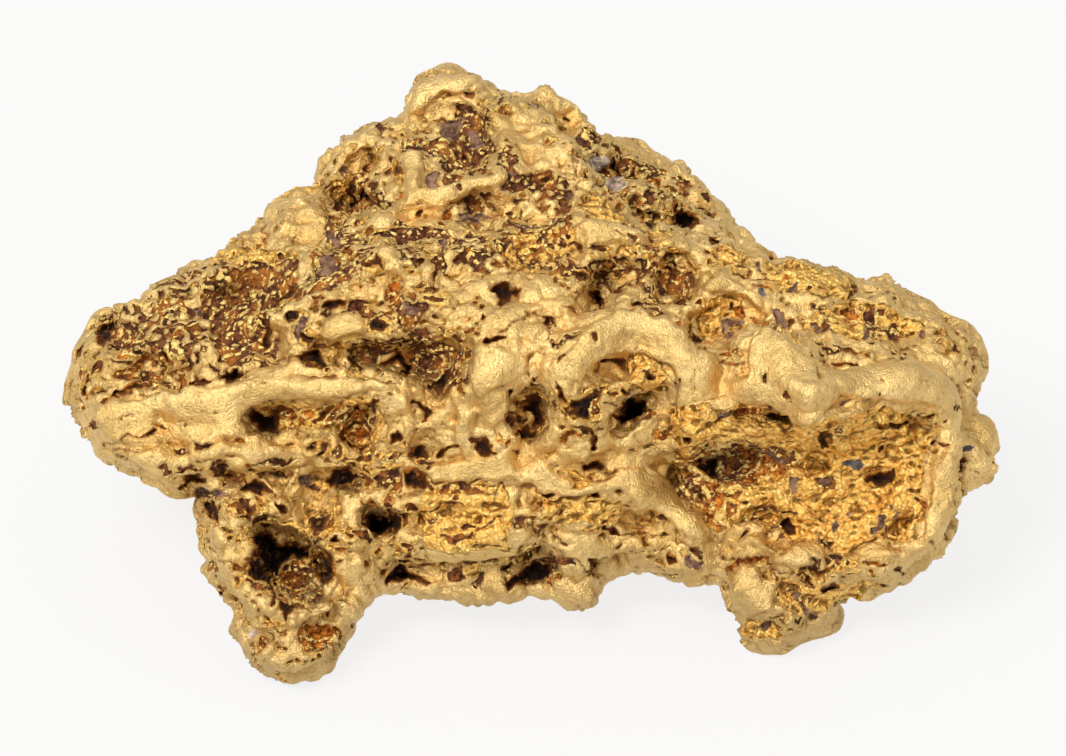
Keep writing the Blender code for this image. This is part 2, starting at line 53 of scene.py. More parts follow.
DOWN = math.radians(LOOK_DOWN)
RIGHT = np.array((1.0, 0.0, 0.0))
UP = np.array((0.0, math.sin(DOWN), math.cos(DOWN)))
FORWARD = np.array((0.0, math.cos(DOWN), -math.sin(DOWN)))

# The skin, in millimetres.
BASE_VOXEL = 0.045  # the spacing of its points
SOFTENING = 12  # rounds of smoothing that take the facets away
SLABS = 6  # the pieces that it is cut into along the nugget
BARE_FOOT = (0.02, 0.35)  # heights over which the relief fades in above the floor
SIGHT_CELL = 0.09  # the grid on which the nearest skin is looked up
HIDDEN_GAP = (0.35, 0.6)  # skin this far behind the nearest fades from seen to hidden
GRAZING = (0.0, 0.15)  # so does skin that turns away, by the cosine of its slant
NUDGE_CORE = 0.25  # the share of a nudge's radius that moves in full
LIFT_EDGE = (-0.1, 0.6)  # distances inside an outline over which a lift rises
REACH = 0.3  # the greatest distance to an opening's edge that matters
PLATE_RISE = 0.1  # how far worn plates stand proud
HIDDEN_GOLD = 0.55  # the share of gold in speckled areas that the eye doesn't see
FINE_ROUNDS = 6  # rounds of blurring that level crumbs, for the fine relief
BROAD_ROUNDS = 60  # and lumps, for the broad relief

# How far the skin sinks for each kind of opening, and the distances inside its edge over which it does.
SINKS = {
    "deep": (0.85, -0.02, 0.2),
    "dark": (0.32, -0.015, 0.08),
    "brown": (0.16, -0.02, 0.05),
    "purple": (0.14, -0.02, 0.05),
    "rust": (0.12, -0.02, 0.06),
    "crack": (0.1, -0.01, 0.03),
    "crumb": (0.07, -0.03, 0.06),
}
UNEVEN_FLOORS = ("deep", "dark")  # their depth varies by up to half

# Seeded balls, as (size of their cells, smallest and largest radius in cells, salt).
HOLES = (0.56, 0.02, 0.42, 24)
SMALL_HOLES = (0.26, -0.1, 0.36, 25)
SPECKS = (0.17, 0.28, 0.8, 23)  # of gold on ironstone
ISLANDS = (0.8, 0.05, 0.46, 33)
STONE_GRAINS = (0.9, -0.1, 0.34, 27)

# Drifts, as (size, amount, salt).
RAGGED_EDGES = ((0.26, 0.08, 0), (0.1, 0.045, 1))
TEAR = ((0.3, 0.13, 28), (0.12, 0.05, 29))
ISLAND_WARP = ((0.5, 0.22, 31), (0.2, 0.07, 32))

# Openings torn in the worn skin, drawn on the sheet as closed outlines. DEEP: caves, painted dark with shade
# the deeper they sink.
DEEP = [
    ((4.95, 10.7), (5.1, 10.58), (5.35, 10.62), (5.5, 10.78), (5.9, 10.8), (6.2, 10.95), (6.3, 11.2),
     (6.0, 11.3), (5.85, 11.15), (5.7, 11.3), (5.6, 11.5), (5.5, 11.75), (5.5, 12.1), (5.38, 12.1),
     (5.42, 11.8), (5.3, 11.6), (5.1, 11.6), (4.95, 11.4), (5.0, 11.2), (5.05, 11.0), (4.95, 10.85)),
    ((12.4, 7.75), (12.5, 7.78), (12.6, 7.8), (12.7, 7.95), (12.9, 8.0), (12.97, 8.15), (13.1, 8.2),
     (13.1, 8.27), (12.95, 8.3), (12.8, 8.42), (12.6, 8.45), (12.4, 8.5), (12.35, 8.42), (12.2, 8.37),
     (12.3, 8.3), (12.45, 8.25), (12.5, 8.1), (12.5, 7.95), (12.45, 7.85)),
    ((7.3, 10.3), (7.5, 10.28), (7.8, 10.25), (8.05, 10.35), (8.05, 10.55), (7.9, 10.65), (7.7, 10.72),
     (7.5, 10.75), (7.35, 10.6), (7.4, 10.45)),
    ((7.85, 7.0), (8.05, 7.0), (8.1, 7.15), (8.15, 7.25), (8.25, 7.3), (8.25, 7.45), (8.15, 7.6),
     (8.0, 7.55), (8.02, 7.4), (7.95, 7.25), (7.8, 7.3), (7.7, 7.4), (7.55, 7.4), (7.6, 7.3), (7.75, 7.2),
     (7.8, 7.1)),
    ((11.75, 5.75), (11.9, 5.8), (12.05, 5.85), (12.1, 5.95), (12.1, 6.1), (12.05, 6.2), (11.9, 6.28),
     (11.83, 6.15), (11.85, 5.95)),
    ((13.4, 3.75), (13.5, 3.75), (13.55, 3.95), (13.5, 4.1), (13.6, 4.2), (13.8, 4.25), (14.0, 4.35),
     (14.0, 4.5), (13.85, 4.55), (13.6, 4.62), (13.45, 4.6), (13.45, 4.4), (13.45, 4.2), (13.4, 4.0),
     (13.42, 3.85)),
    ((12.25, 3.1), (12.35, 3.05), (12.42, 3.15), (12.45, 3.3), (12.5, 3.45), (12.6, 3.5), (12.75, 3.4),
     (12.8, 3.35), (12.8, 3.55), (12.75, 3.65), (12.65, 3.65), (12.55, 3.6), (12.45, 3.55), (12.3, 3.5),
     (12.22, 3.4)),
    ((12.6, 4.2), (12.8, 4.15), (13.05, 4.2), (13.2, 4.3), (13.15, 4.5), (13.1, 4.6), (12.95, 4.6),
     (12.8, 4.5), (12.7, 4.4)),
    ((14.1, 4.7), (14.2, 4.72), (14.35, 4.78), (14.37, 4.9), (14.3, 4.97), (14.2, 4.93), (14.15, 4.8)),
    ((7.12, 3.75), (7.3, 3.75), (7.5, 3.85), (7.6, 4.0), (7.5, 4.1), (7.3, 4.0), (7.15, 3.95)),
    ((7.85, 11.45), (8.1, 11.32), (8.3, 11.48), (8.55, 11.62), (8.2, 11.62), (7.85, 11.66)),
]
# DARK: pits, painted black with shade the deeper they sink.
DARK = [
    ((2.58, 8.64), (2.8, 8.68), (3.0, 8.64), (3.1, 8.62), (3.12, 8.73), (3.0, 8.75), (2.8, 8.72),
     (2.6, 8.68)),
    ((1.8, 8.42), (1.95, 8.4), (1.97, 8.62), (1.85, 8.55)),
    ((3.6, 9.68), (3.8, 9.48), (3.95, 9.52), (4.15, 9.58), (3.95, 9.65), (3.85, 9.64), (3.65, 9.72)),
    ((4.85, 9.7), (5.1, 9.62), (5.25, 9.63), (5.35, 9.75), (5.4, 9.9), (5.2, 9.95), (4.95, 9.88),
     (4.8, 9.8)),
    ((5.45, 9.95), (5.55, 10.05), (5.7, 10.1), (5.8, 10.3), (5.7, 10.35), (5.55, 10.2), (5.45, 10.05)),
    ((4.05, 10.05), (4.25, 10.05), (4.4, 10.15), (4.45, 10.4), (4.4, 10.45), (4.2, 10.35), (4.08, 10.25)),
    ((4.75, 10.0), (4.85, 9.95), (5.0, 10.05), (5.1, 10.2), (5.05, 10.45), (5.0, 10.4), (4.95, 10.25)),
    ((4.3, 9.3), (4.5, 9.25), (4.55, 9.45), (4.75, 9.55), (4.6, 9.6), (4.35, 9.5)),
    ((5.6, 12.1), (5.9, 12.0), (6.0, 12.05), (5.9, 12.2), (5.75, 12.4), (5.7, 12.5), (5.6, 12.3)),
    ((6.85, 8.75), (7.0, 8.5), (7.1, 8.4), (7.38, 8.42), (7.4, 8.6), (7.34, 8.6), (7.3, 8.5), (7.12, 8.5),
     (6.98, 8.65), (6.95, 8.85), (7.1, 8.93), (7.3, 8.88), (7.35, 8.95), (7.1, 9.0), (6.9, 8.98),
     (6.82, 8.85)),
    ((7.8, 8.75), (7.95, 8.62), (8.05, 8.75), (7.9, 8.85), (7.75, 8.95)),
    ((8.2, 9.2), (8.25, 9.05), (8.35, 8.95), (8.5, 8.9), (8.6, 9.1), (8.45, 9.25), (8.25, 9.28)),
    ((8.6, 9.08), (8.8, 8.98), (9.0, 8.96), (9.2, 8.85), (9.15, 9.0), (8.95, 9.05), (8.7, 9.12)),
    ((9.35, 8.75), (9.45, 8.72), (9.75, 8.85), (9.85, 8.95), (9.95, 9.0), (9.7, 9.1), (9.5, 9.05),
     (9.45, 8.9)),
    ((10.25, 8.7), (10.55, 8.5), (10.75, 8.5), (10.7, 8.65), (10.5, 8.75), (10.3, 8.76)),
    ((6.45, 9.65), (6.6, 9.55), (6.7, 9.4), (6.9, 9.33), (7.0, 9.35), (7.2, 9.5), (7.4, 9.55), (7.2, 9.6),
     (7.0, 9.65), (6.9, 9.75), (6.75, 9.7), (6.5, 9.68)),
    ((8.05, 9.45), (8.2, 9.42), (8.4, 9.55), (8.6, 9.7), (8.5, 9.78), (8.2, 9.75), (8.05, 9.65)),
    ((9.15, 10.5), (9.3, 10.45), (9.6, 10.5), (9.9, 10.35), (10.05, 10.25), (9.95, 10.4), (9.7, 10.52),
     (9.5, 10.58), (9.25, 10.62)),
    ((7.7, 11.55), (7.8, 11.4), (8.0, 11.3), (8.1, 11.3), (8.2, 11.45), (8.4, 11.5), (8.6, 11.65),
     (8.5, 11.7), (8.2, 11.62), (7.9, 11.7), (7.75, 11.68)),
    ((10.0, 11.6), (10.4, 11.5), (10.7, 11.2), (11.0, 11.3), (11.0, 11.6), (10.7, 11.7), (10.4, 11.75),
     (10.1, 11.75)),
    ((6.3, 11.0), (6.5, 10.95), (6.65, 11.2), (6.7, 11.4), (6.6, 11.7), (6.4, 11.7), (6.3, 11.4)),
    ((6.6, 10.8), (6.75, 10.75), (6.85, 10.95), (6.7, 10.9)),
    ((11.8, 8.9), (11.85, 8.75), (11.82, 8.65), (11.9, 8.62), (11.95, 8.8), (11.9, 8.98), (11.82, 8.98)),
    ((11.55, 9.3), (11.6, 9.2), (11.75, 9.2), (11.9, 9.18), (11.97, 9.3), (12.08, 9.38), (12.0, 9.45),
     (11.8, 9.4), (11.6, 9.38)),
    ((10.8, 9.88), (10.95, 9.83), (11.1, 9.83), (11.12, 9.9), (10.95, 9.95), (10.83, 9.95)),
    ((11.65, 9.93), (11.85, 9.87), (12.0, 9.87), (12.0, 9.97), (11.85, 9.98), (11.7, 9.97)),
    ((12.03, 10.5), (12.15, 10.5), (12.3, 10.55), (12.5, 10.65), (12.45, 10.7), (12.25, 10.68),
     (12.1, 10.6)),
    ((11.2, 10.8), (11.4, 10.82), (11.45, 10.88), (11.25, 10.88)),
    ((10.8, 11.4), (10.95, 11.4), (10.95, 11.5), (10.8, 11.5)),
    ((13.62, 8.72), (13.8, 8.75), (13.85, 8.83), (13.65, 8.9)),
    ((13.85, 9.3), (14.0, 9.2), (14.2, 9.18), (14.35, 9.05), (14.45, 9.2), (14.4, 9.45), (14.35, 9.6),
     (14.2, 9.6), (14.05, 9.5), (13.95, 9.42)),
    ((15.6, 8.62), (15.75, 8.6), (15.78, 8.65), (15.7, 8.72), (15.6, 8.72)),
    ((13.95, 9.85), (14.1, 9.9), (14.15, 10.1), (13.95, 10.0)),
    ((15.55, 10.45), (15.65, 10.35), (15.75, 10.35), (15.8, 10.5), (15.88, 10.6), (15.9, 10.7),
     (15.75, 10.68), (15.65, 10.6)),
    ((13.3, 11.1), (13.4, 11.0), (13.5, 11.1), (13.6, 11.15), (13.65, 11.25), (13.45, 11.27),
     (13.35, 11.2)),
    ((15.8, 11.43), (15.95, 11.46), (16.1, 11.5), (16.15, 11.56), (16.32, 11.66), (16.2, 11.7),
     (16.1, 11.68), (16.05, 11.6), (15.93, 11.54)),
    ((15.5, 11.45), (15.58, 11.5), (15.57, 11.6), (15.52, 11.58)),
    ((16.33, 8.62), (16.45, 8.65), (16.6, 8.62), (16.62, 8.8), (16.6, 8.9), (16.5, 8.97), (16.42, 8.88),
     (16.38, 8.75)),
    ((17.55, 9.0), (17.6, 8.93), (17.7, 8.98), (17.65, 9.08), (17.55, 9.08)),
    ((17.3, 9.6), (17.45, 9.48), (17.6, 9.4), (17.85, 9.38), (17.9, 9.5), (17.8, 9.6), (17.7, 9.68),
     (17.55, 9.7), (17.4, 9.65)),
    ((16.5, 10.7), (16.65, 10.8), (16.65, 10.97), (16.55, 10.93), (16.5, 10.8)),
    ((18.33, 8.25), (18.4, 8.23), (18.45, 8.28), (18.4, 8.33)),
    ((18.75, 8.32), (18.88, 8.35), (18.9, 8.42), (18.8, 8.42)),
    ((18.6, 8.8), (18.65, 8.73), (18.75, 8.82), (18.9, 8.85), (18.95, 8.88), (18.85, 8.92), (18.7, 8.85),
     (18.62, 8.93), (18.58, 8.88)),
    ((16.45, 11.75), (16.5, 11.65), (16.7, 11.65), (16.75, 11.75), (16.65, 11.87), (16.5, 11.87)),
    ((1.88, 6.75), (1.92, 6.6), (2.1, 6.5), (2.25, 6.35), (2.3, 6.3), (2.38, 6.35), (2.35, 6.5),
     (2.3, 6.65), (2.2, 6.85), (2.1, 6.95), (2.0, 6.85), (1.95, 6.8)),
    ((1.87, 7.2), (1.92, 7.1), (2.0, 7.02), (2.05, 7.05), (1.95, 7.15), (1.9, 7.28)),
    ((4.4, 5.35), (4.45, 5.28), (4.6, 5.3), (4.7, 5.45), (4.75, 5.6), (4.7, 5.6), (4.65, 5.45),
     (4.55, 5.38)),
    ((5.35, 5.95), (5.5, 5.85), (5.6, 5.9), (5.75, 5.8), (5.9, 5.7), (5.95, 5.85), (5.75, 6.0),
     (5.5, 6.05)),
    ((5.2, 6.3), (5.35, 6.4), (5.38, 6.7), (5.4, 6.95), (5.25, 7.0), (5.2, 6.85), (5.25, 6.6)),
    ((4.35, 7.55), (4.5, 7.4), (4.6, 7.35), (4.75, 7.35), (4.8, 7.45), (4.95, 7.52), (4.9, 7.58),
     (4.7, 7.62), (4.5, 7.67), (4.4, 7.63)),
    ((3.1, 7.03), (3.2, 7.05), (3.38, 7.12), (3.42, 7.28), (3.3, 7.3), (3.2, 7.15)),
    ((3.4, 7.55), (3.48, 7.48), (3.55, 7.55), (3.5, 7.62)),
    ((3.8, 7.45), (3.9, 7.5), (4.0, 7.6), (4.2, 7.6), (4.25, 7.65), (4.1, 7.75), (3.9, 7.78), (3.78, 7.75),
     (3.72, 7.65), (3.85, 7.6)),
    ((2.0, 8.1), (2.15, 8.0), (2.25, 7.9), (2.45, 7.8), (2.7, 7.75), (2.9, 7.75), (3.0, 7.72), (3.05, 7.78),
     (2.8, 7.85), (2.5, 7.9), (2.3, 8.05), (2.15, 8.12)),
    ((1.65, 7.8), (1.8, 7.7), (1.85, 7.75), (1.8, 7.9), (1.7, 7.92)),
    ((1.78, 8.5), (1.85, 8.4), (1.9, 8.5), (2.0, 8.5), (1.95, 8.6), (1.85, 8.55)),
    ((4.93, 8.4), (4.95, 8.3), (5.1, 8.25), (5.2, 8.3), (5.35, 8.3), (5.5, 8.2), (5.6, 8.15), (5.7, 8.25),
     (5.55, 8.35), (5.6, 8.45), (5.5, 8.6), (5.4, 8.7), (5.25, 8.65), (5.1, 8.55), (5.0, 8.48)),
    ((5.8, 5.3), (5.95, 5.4), (5.98, 5.6), (5.95, 5.9), (5.85, 5.9), (5.85, 5.6)),
    ((7.35, 5.3), (7.45, 5.25), (7.6, 5.1), (7.65, 5.25), (7.72, 5.42), (7.6, 5.43), (7.4, 5.35)),
    ((8.2, 5.15), (8.3, 5.1), (8.5, 5.15), (8.5, 5.25), (8.4, 5.3), (8.3, 5.25)),
    ((8.65, 5.45), (8.8, 5.4), (8.75, 5.6), (8.72, 5.8), (8.7, 5.95), (8.65, 5.8), (8.7, 5.6)),
    ((9.75, 5.85), (9.85, 5.75), (9.95, 5.7), (10.05, 5.65), (10.15, 5.65), (10.2, 5.75), (10.35, 5.8),
     (10.45, 5.85), (10.35, 5.95), (10.2, 5.98), (10.1, 6.08), (9.95, 6.08), (9.85, 5.95), (9.75, 5.95)),
    ((6.55, 5.98), (6.8, 5.98), (7.0, 6.05), (6.95, 6.2), (6.8, 6.15), (6.6, 6.25), (6.4, 6.15)),
    ((8.6, 6.35), (8.7, 6.25), (8.8, 6.22), (8.75, 6.32), (8.65, 6.4)),
    ((9.5, 6.3), (9.6, 6.2), (9.68, 6.3), (9.6, 6.38)),
    ((9.6, 6.85), (9.75, 6.75), (9.9, 6.75), (10.0, 6.7), (10.15, 6.68), (10.1, 6.8), (9.9, 6.85),
     (9.7, 6.9)),
    ((10.7, 6.25), (10.9, 6.3), (11.0, 6.4), (10.95, 6.5), (10.85, 6.45), (10.8, 6.35)),
    ((8.68, 7.6), (8.75, 7.5), (8.9, 7.45), (9.05, 7.42), (9.1, 7.5), (8.95, 7.6), (8.9, 7.75), (8.8, 7.82),
     (8.7, 7.78)),
    ((5.8, 7.15), (6.0, 7.1), (6.2, 7.0), (6.3, 6.9), (6.4, 7.0), (6.55, 7.2), (6.65, 7.33), (6.4, 7.35),
     (6.2, 7.33), (6.05, 7.2)),
    ((7.0, 7.25), (7.1, 7.15), (7.2, 7.3), (7.15, 7.38), (7.0, 7.35)),
    ((7.0, 8.1), (7.2, 8.12), (7.4, 8.05), (7.55, 8.0), (7.55, 8.2), (7.4, 8.25), (7.2, 8.25),
     (7.05, 8.22)),
    ((6.3, 8.35), (6.4, 8.2), (6.6, 8.1), (6.7, 8.1), (6.55, 8.25), (6.4, 8.4), (6.25, 8.5), (6.2, 8.45)),
    ((8.2, 8.05), (8.35, 8.05), (8.45, 8.1), (8.6, 8.05), (8.7, 8.2), (8.65, 8.35), (8.5, 8.4),
     (8.55, 8.25), (8.4, 8.2), (8.25, 8.13)),
    ((10.4, 8.15), (10.5, 8.05), (10.65, 7.9), (10.75, 7.8), (10.8, 7.95), (10.8, 8.1), (10.9, 8.3),
     (10.95, 8.45), (10.85, 8.55), (10.7, 8.5), (10.6, 8.35), (10.5, 8.2)),
    ((10.1, 7.8), (10.2, 7.75), (10.25, 7.85), (10.2, 7.95), (10.1, 7.88)),
    ((10.55, 7.55), (10.7, 7.55), (10.8, 7.5), (10.7, 7.65), (10.6, 7.62)),
    ((11.42, 4.8), (11.5, 4.9), (11.65, 4.85), (11.68, 5.0), (11.6, 5.1), (11.52, 5.02)),
    ((12.03, 5.17), (12.15, 5.17), (12.3, 5.2), (12.35, 5.3), (12.25, 5.36), (12.15, 5.38), (12.07, 5.3)),
    ((11.45, 5.35), (11.6, 5.42), (11.75, 5.45), (11.8, 5.55), (11.75, 5.66), (11.6, 5.66), (11.5, 5.55)),
    ((12.12, 5.62), (12.22, 5.65), (12.24, 5.85), (12.4, 5.8), (12.5, 5.72), (12.62, 5.65), (12.62, 5.74),
     (12.45, 5.88), (12.25, 5.95), (12.15, 5.8)),
    ((13.18, 5.25), (13.3, 5.35), (13.5, 5.4), (13.45, 5.5), (13.3, 5.45), (13.15, 5.4)),
    ((13.45, 6.0), (13.6, 5.95), (13.75, 6.0), (13.65, 6.1), (13.5, 6.1)),
    ((13.78, 5.42), (13.87, 5.42), (13.88, 5.58), (13.8, 5.56)),
    ((13.85, 6.1), (13.95, 6.0), (14.0, 6.0), (14.0, 6.18), (13.9, 6.17)),
    ((13.75, 6.7), (13.85, 6.68), (13.97, 6.7), (14.0, 6.85), (13.95, 6.92), (13.85, 6.88), (13.8, 6.8)),
    ((15.72, 7.85), (15.8, 7.83), (15.9, 7.9), (15.85, 7.97), (15.77, 7.9)),
    ((12.05, 7.3), (12.1, 7.15), (12.25, 7.2), (12.4, 7.15), (12.5, 7.15), (12.5, 7.3), (12.45, 7.38),
     (12.4, 7.28), (12.2, 7.28)),
    ((12.65, 7.0), (12.7, 6.97), (12.76, 7.0), (12.7, 7.03)),
    ((11.1, 7.65), (11.15, 7.68), (11.17, 7.8), (11.25, 7.9), (11.45, 8.07), (11.4, 8.15), (11.3, 8.05),
     (11.15, 7.98), (11.13, 7.85)),
    ((11.8, 6.75), (11.9, 6.7), (11.95, 6.8), (11.9, 6.87), (11.82, 6.8)),
    ((15.7, 6.5), (15.8, 6.4), (15.95, 6.38), (15.88, 6.44), (15.78, 6.52), (15.73, 6.56)),
    ((13.38, 8.22), (13.46, 8.22), (13.46, 8.33), (13.4, 8.32)),
    ((9.0, 2.8), (9.15, 2.8), (9.1, 2.95), (9.0, 2.9)),
    ((9.25, 2.6), (9.35, 2.65), (9.3, 2.85), (9.22, 2.8)),
    ((9.15, 3.05), (9.3, 3.0), (9.4, 3.1), (9.3, 3.25), (9.15, 3.2)),
    ((8.4, 2.65), (8.55, 2.55), (8.5, 2.7), (8.45, 2.85), (8.38, 2.85)),
    ((8.57, 3.05), (8.68, 3.02), (8.7, 3.08), (8.62, 3.12)),
    ((10.04, 3.08), (10.12, 3.08), (10.12, 3.2), (10.03, 3.2)),
    ((10.35, 3.65), (10.46, 3.7), (10.46, 3.8), (10.35, 3.8)),
    ((10.75, 3.7), (10.9, 3.65), (10.9, 3.8), (10.8, 3.8)),
    ((9.45, 4.05), (9.55, 4.05), (9.55, 4.15), (9.45, 4.15)),
    ((8.22, 4.27), (8.3, 4.22), (8.4, 4.2), (8.45, 4.3), (8.35, 4.38), (8.25, 4.4)),
    ((6.6, 4.05), (6.75, 4.1), (6.85, 4.2), (6.75, 4.3), (6.65, 4.2)),
    ((7.25, 3.3), (7.35, 3.25), (7.4, 3.35), (7.38, 3.42), (7.28, 3.4)),
    ((7.72, 3.1), (7.8, 3.0), (7.8, 3.3), (7.8, 3.5), (7.72, 3.55), (7.7, 3.4), (7.75, 3.25)),
    ((7.5, 3.7), (7.6, 3.62), (7.65, 3.7), (7.55, 3.8)),
    ((9.85, 1.85), (9.9, 1.82), (10.0, 1.9), (9.95, 1.97)),
    ((11.25, 2.35), (11.35, 2.35), (11.45, 2.45), (11.4, 2.5), (11.3, 2.42)),
    ((17.0, 5.72), (17.1, 5.7), (17.2, 5.72), (17.14, 5.82), (17.1, 5.9), (17.05, 6.0), (16.98, 5.97),
     (17.04, 5.85)),
    ((16.4, 7.18), (16.5, 7.28), (16.65, 7.3), (16.9, 7.27), (17.05, 7.25), (17.15, 7.22), (17.2, 7.28),
     (17.1, 7.35), (17.0, 7.33), (16.85, 7.35), (16.6, 7.35), (16.45, 7.3)),
    ((17.85, 7.0), (17.95, 7.0), (18.0, 7.1), (18.12, 7.18), (18.1, 7.25), (18.0, 7.27), (17.95, 7.2),
     (17.9, 7.12), (17.85, 7.05)),
    ((16.8, 6.98), (16.95, 6.97), (17.35, 6.97), (17.2, 7.02), (16.9, 7.03)),
    ((5.48, 5.1), (5.6, 5.04), (5.68, 5.12), (5.65, 5.24), (5.55, 5.2)),
    ((10.0, 4.32), (10.1, 4.3), (10.1, 4.36), (10.02, 4.37)),
    ((3.1, 9.28), (3.2, 9.26), (3.3, 9.32), (3.2, 9.33)),
]
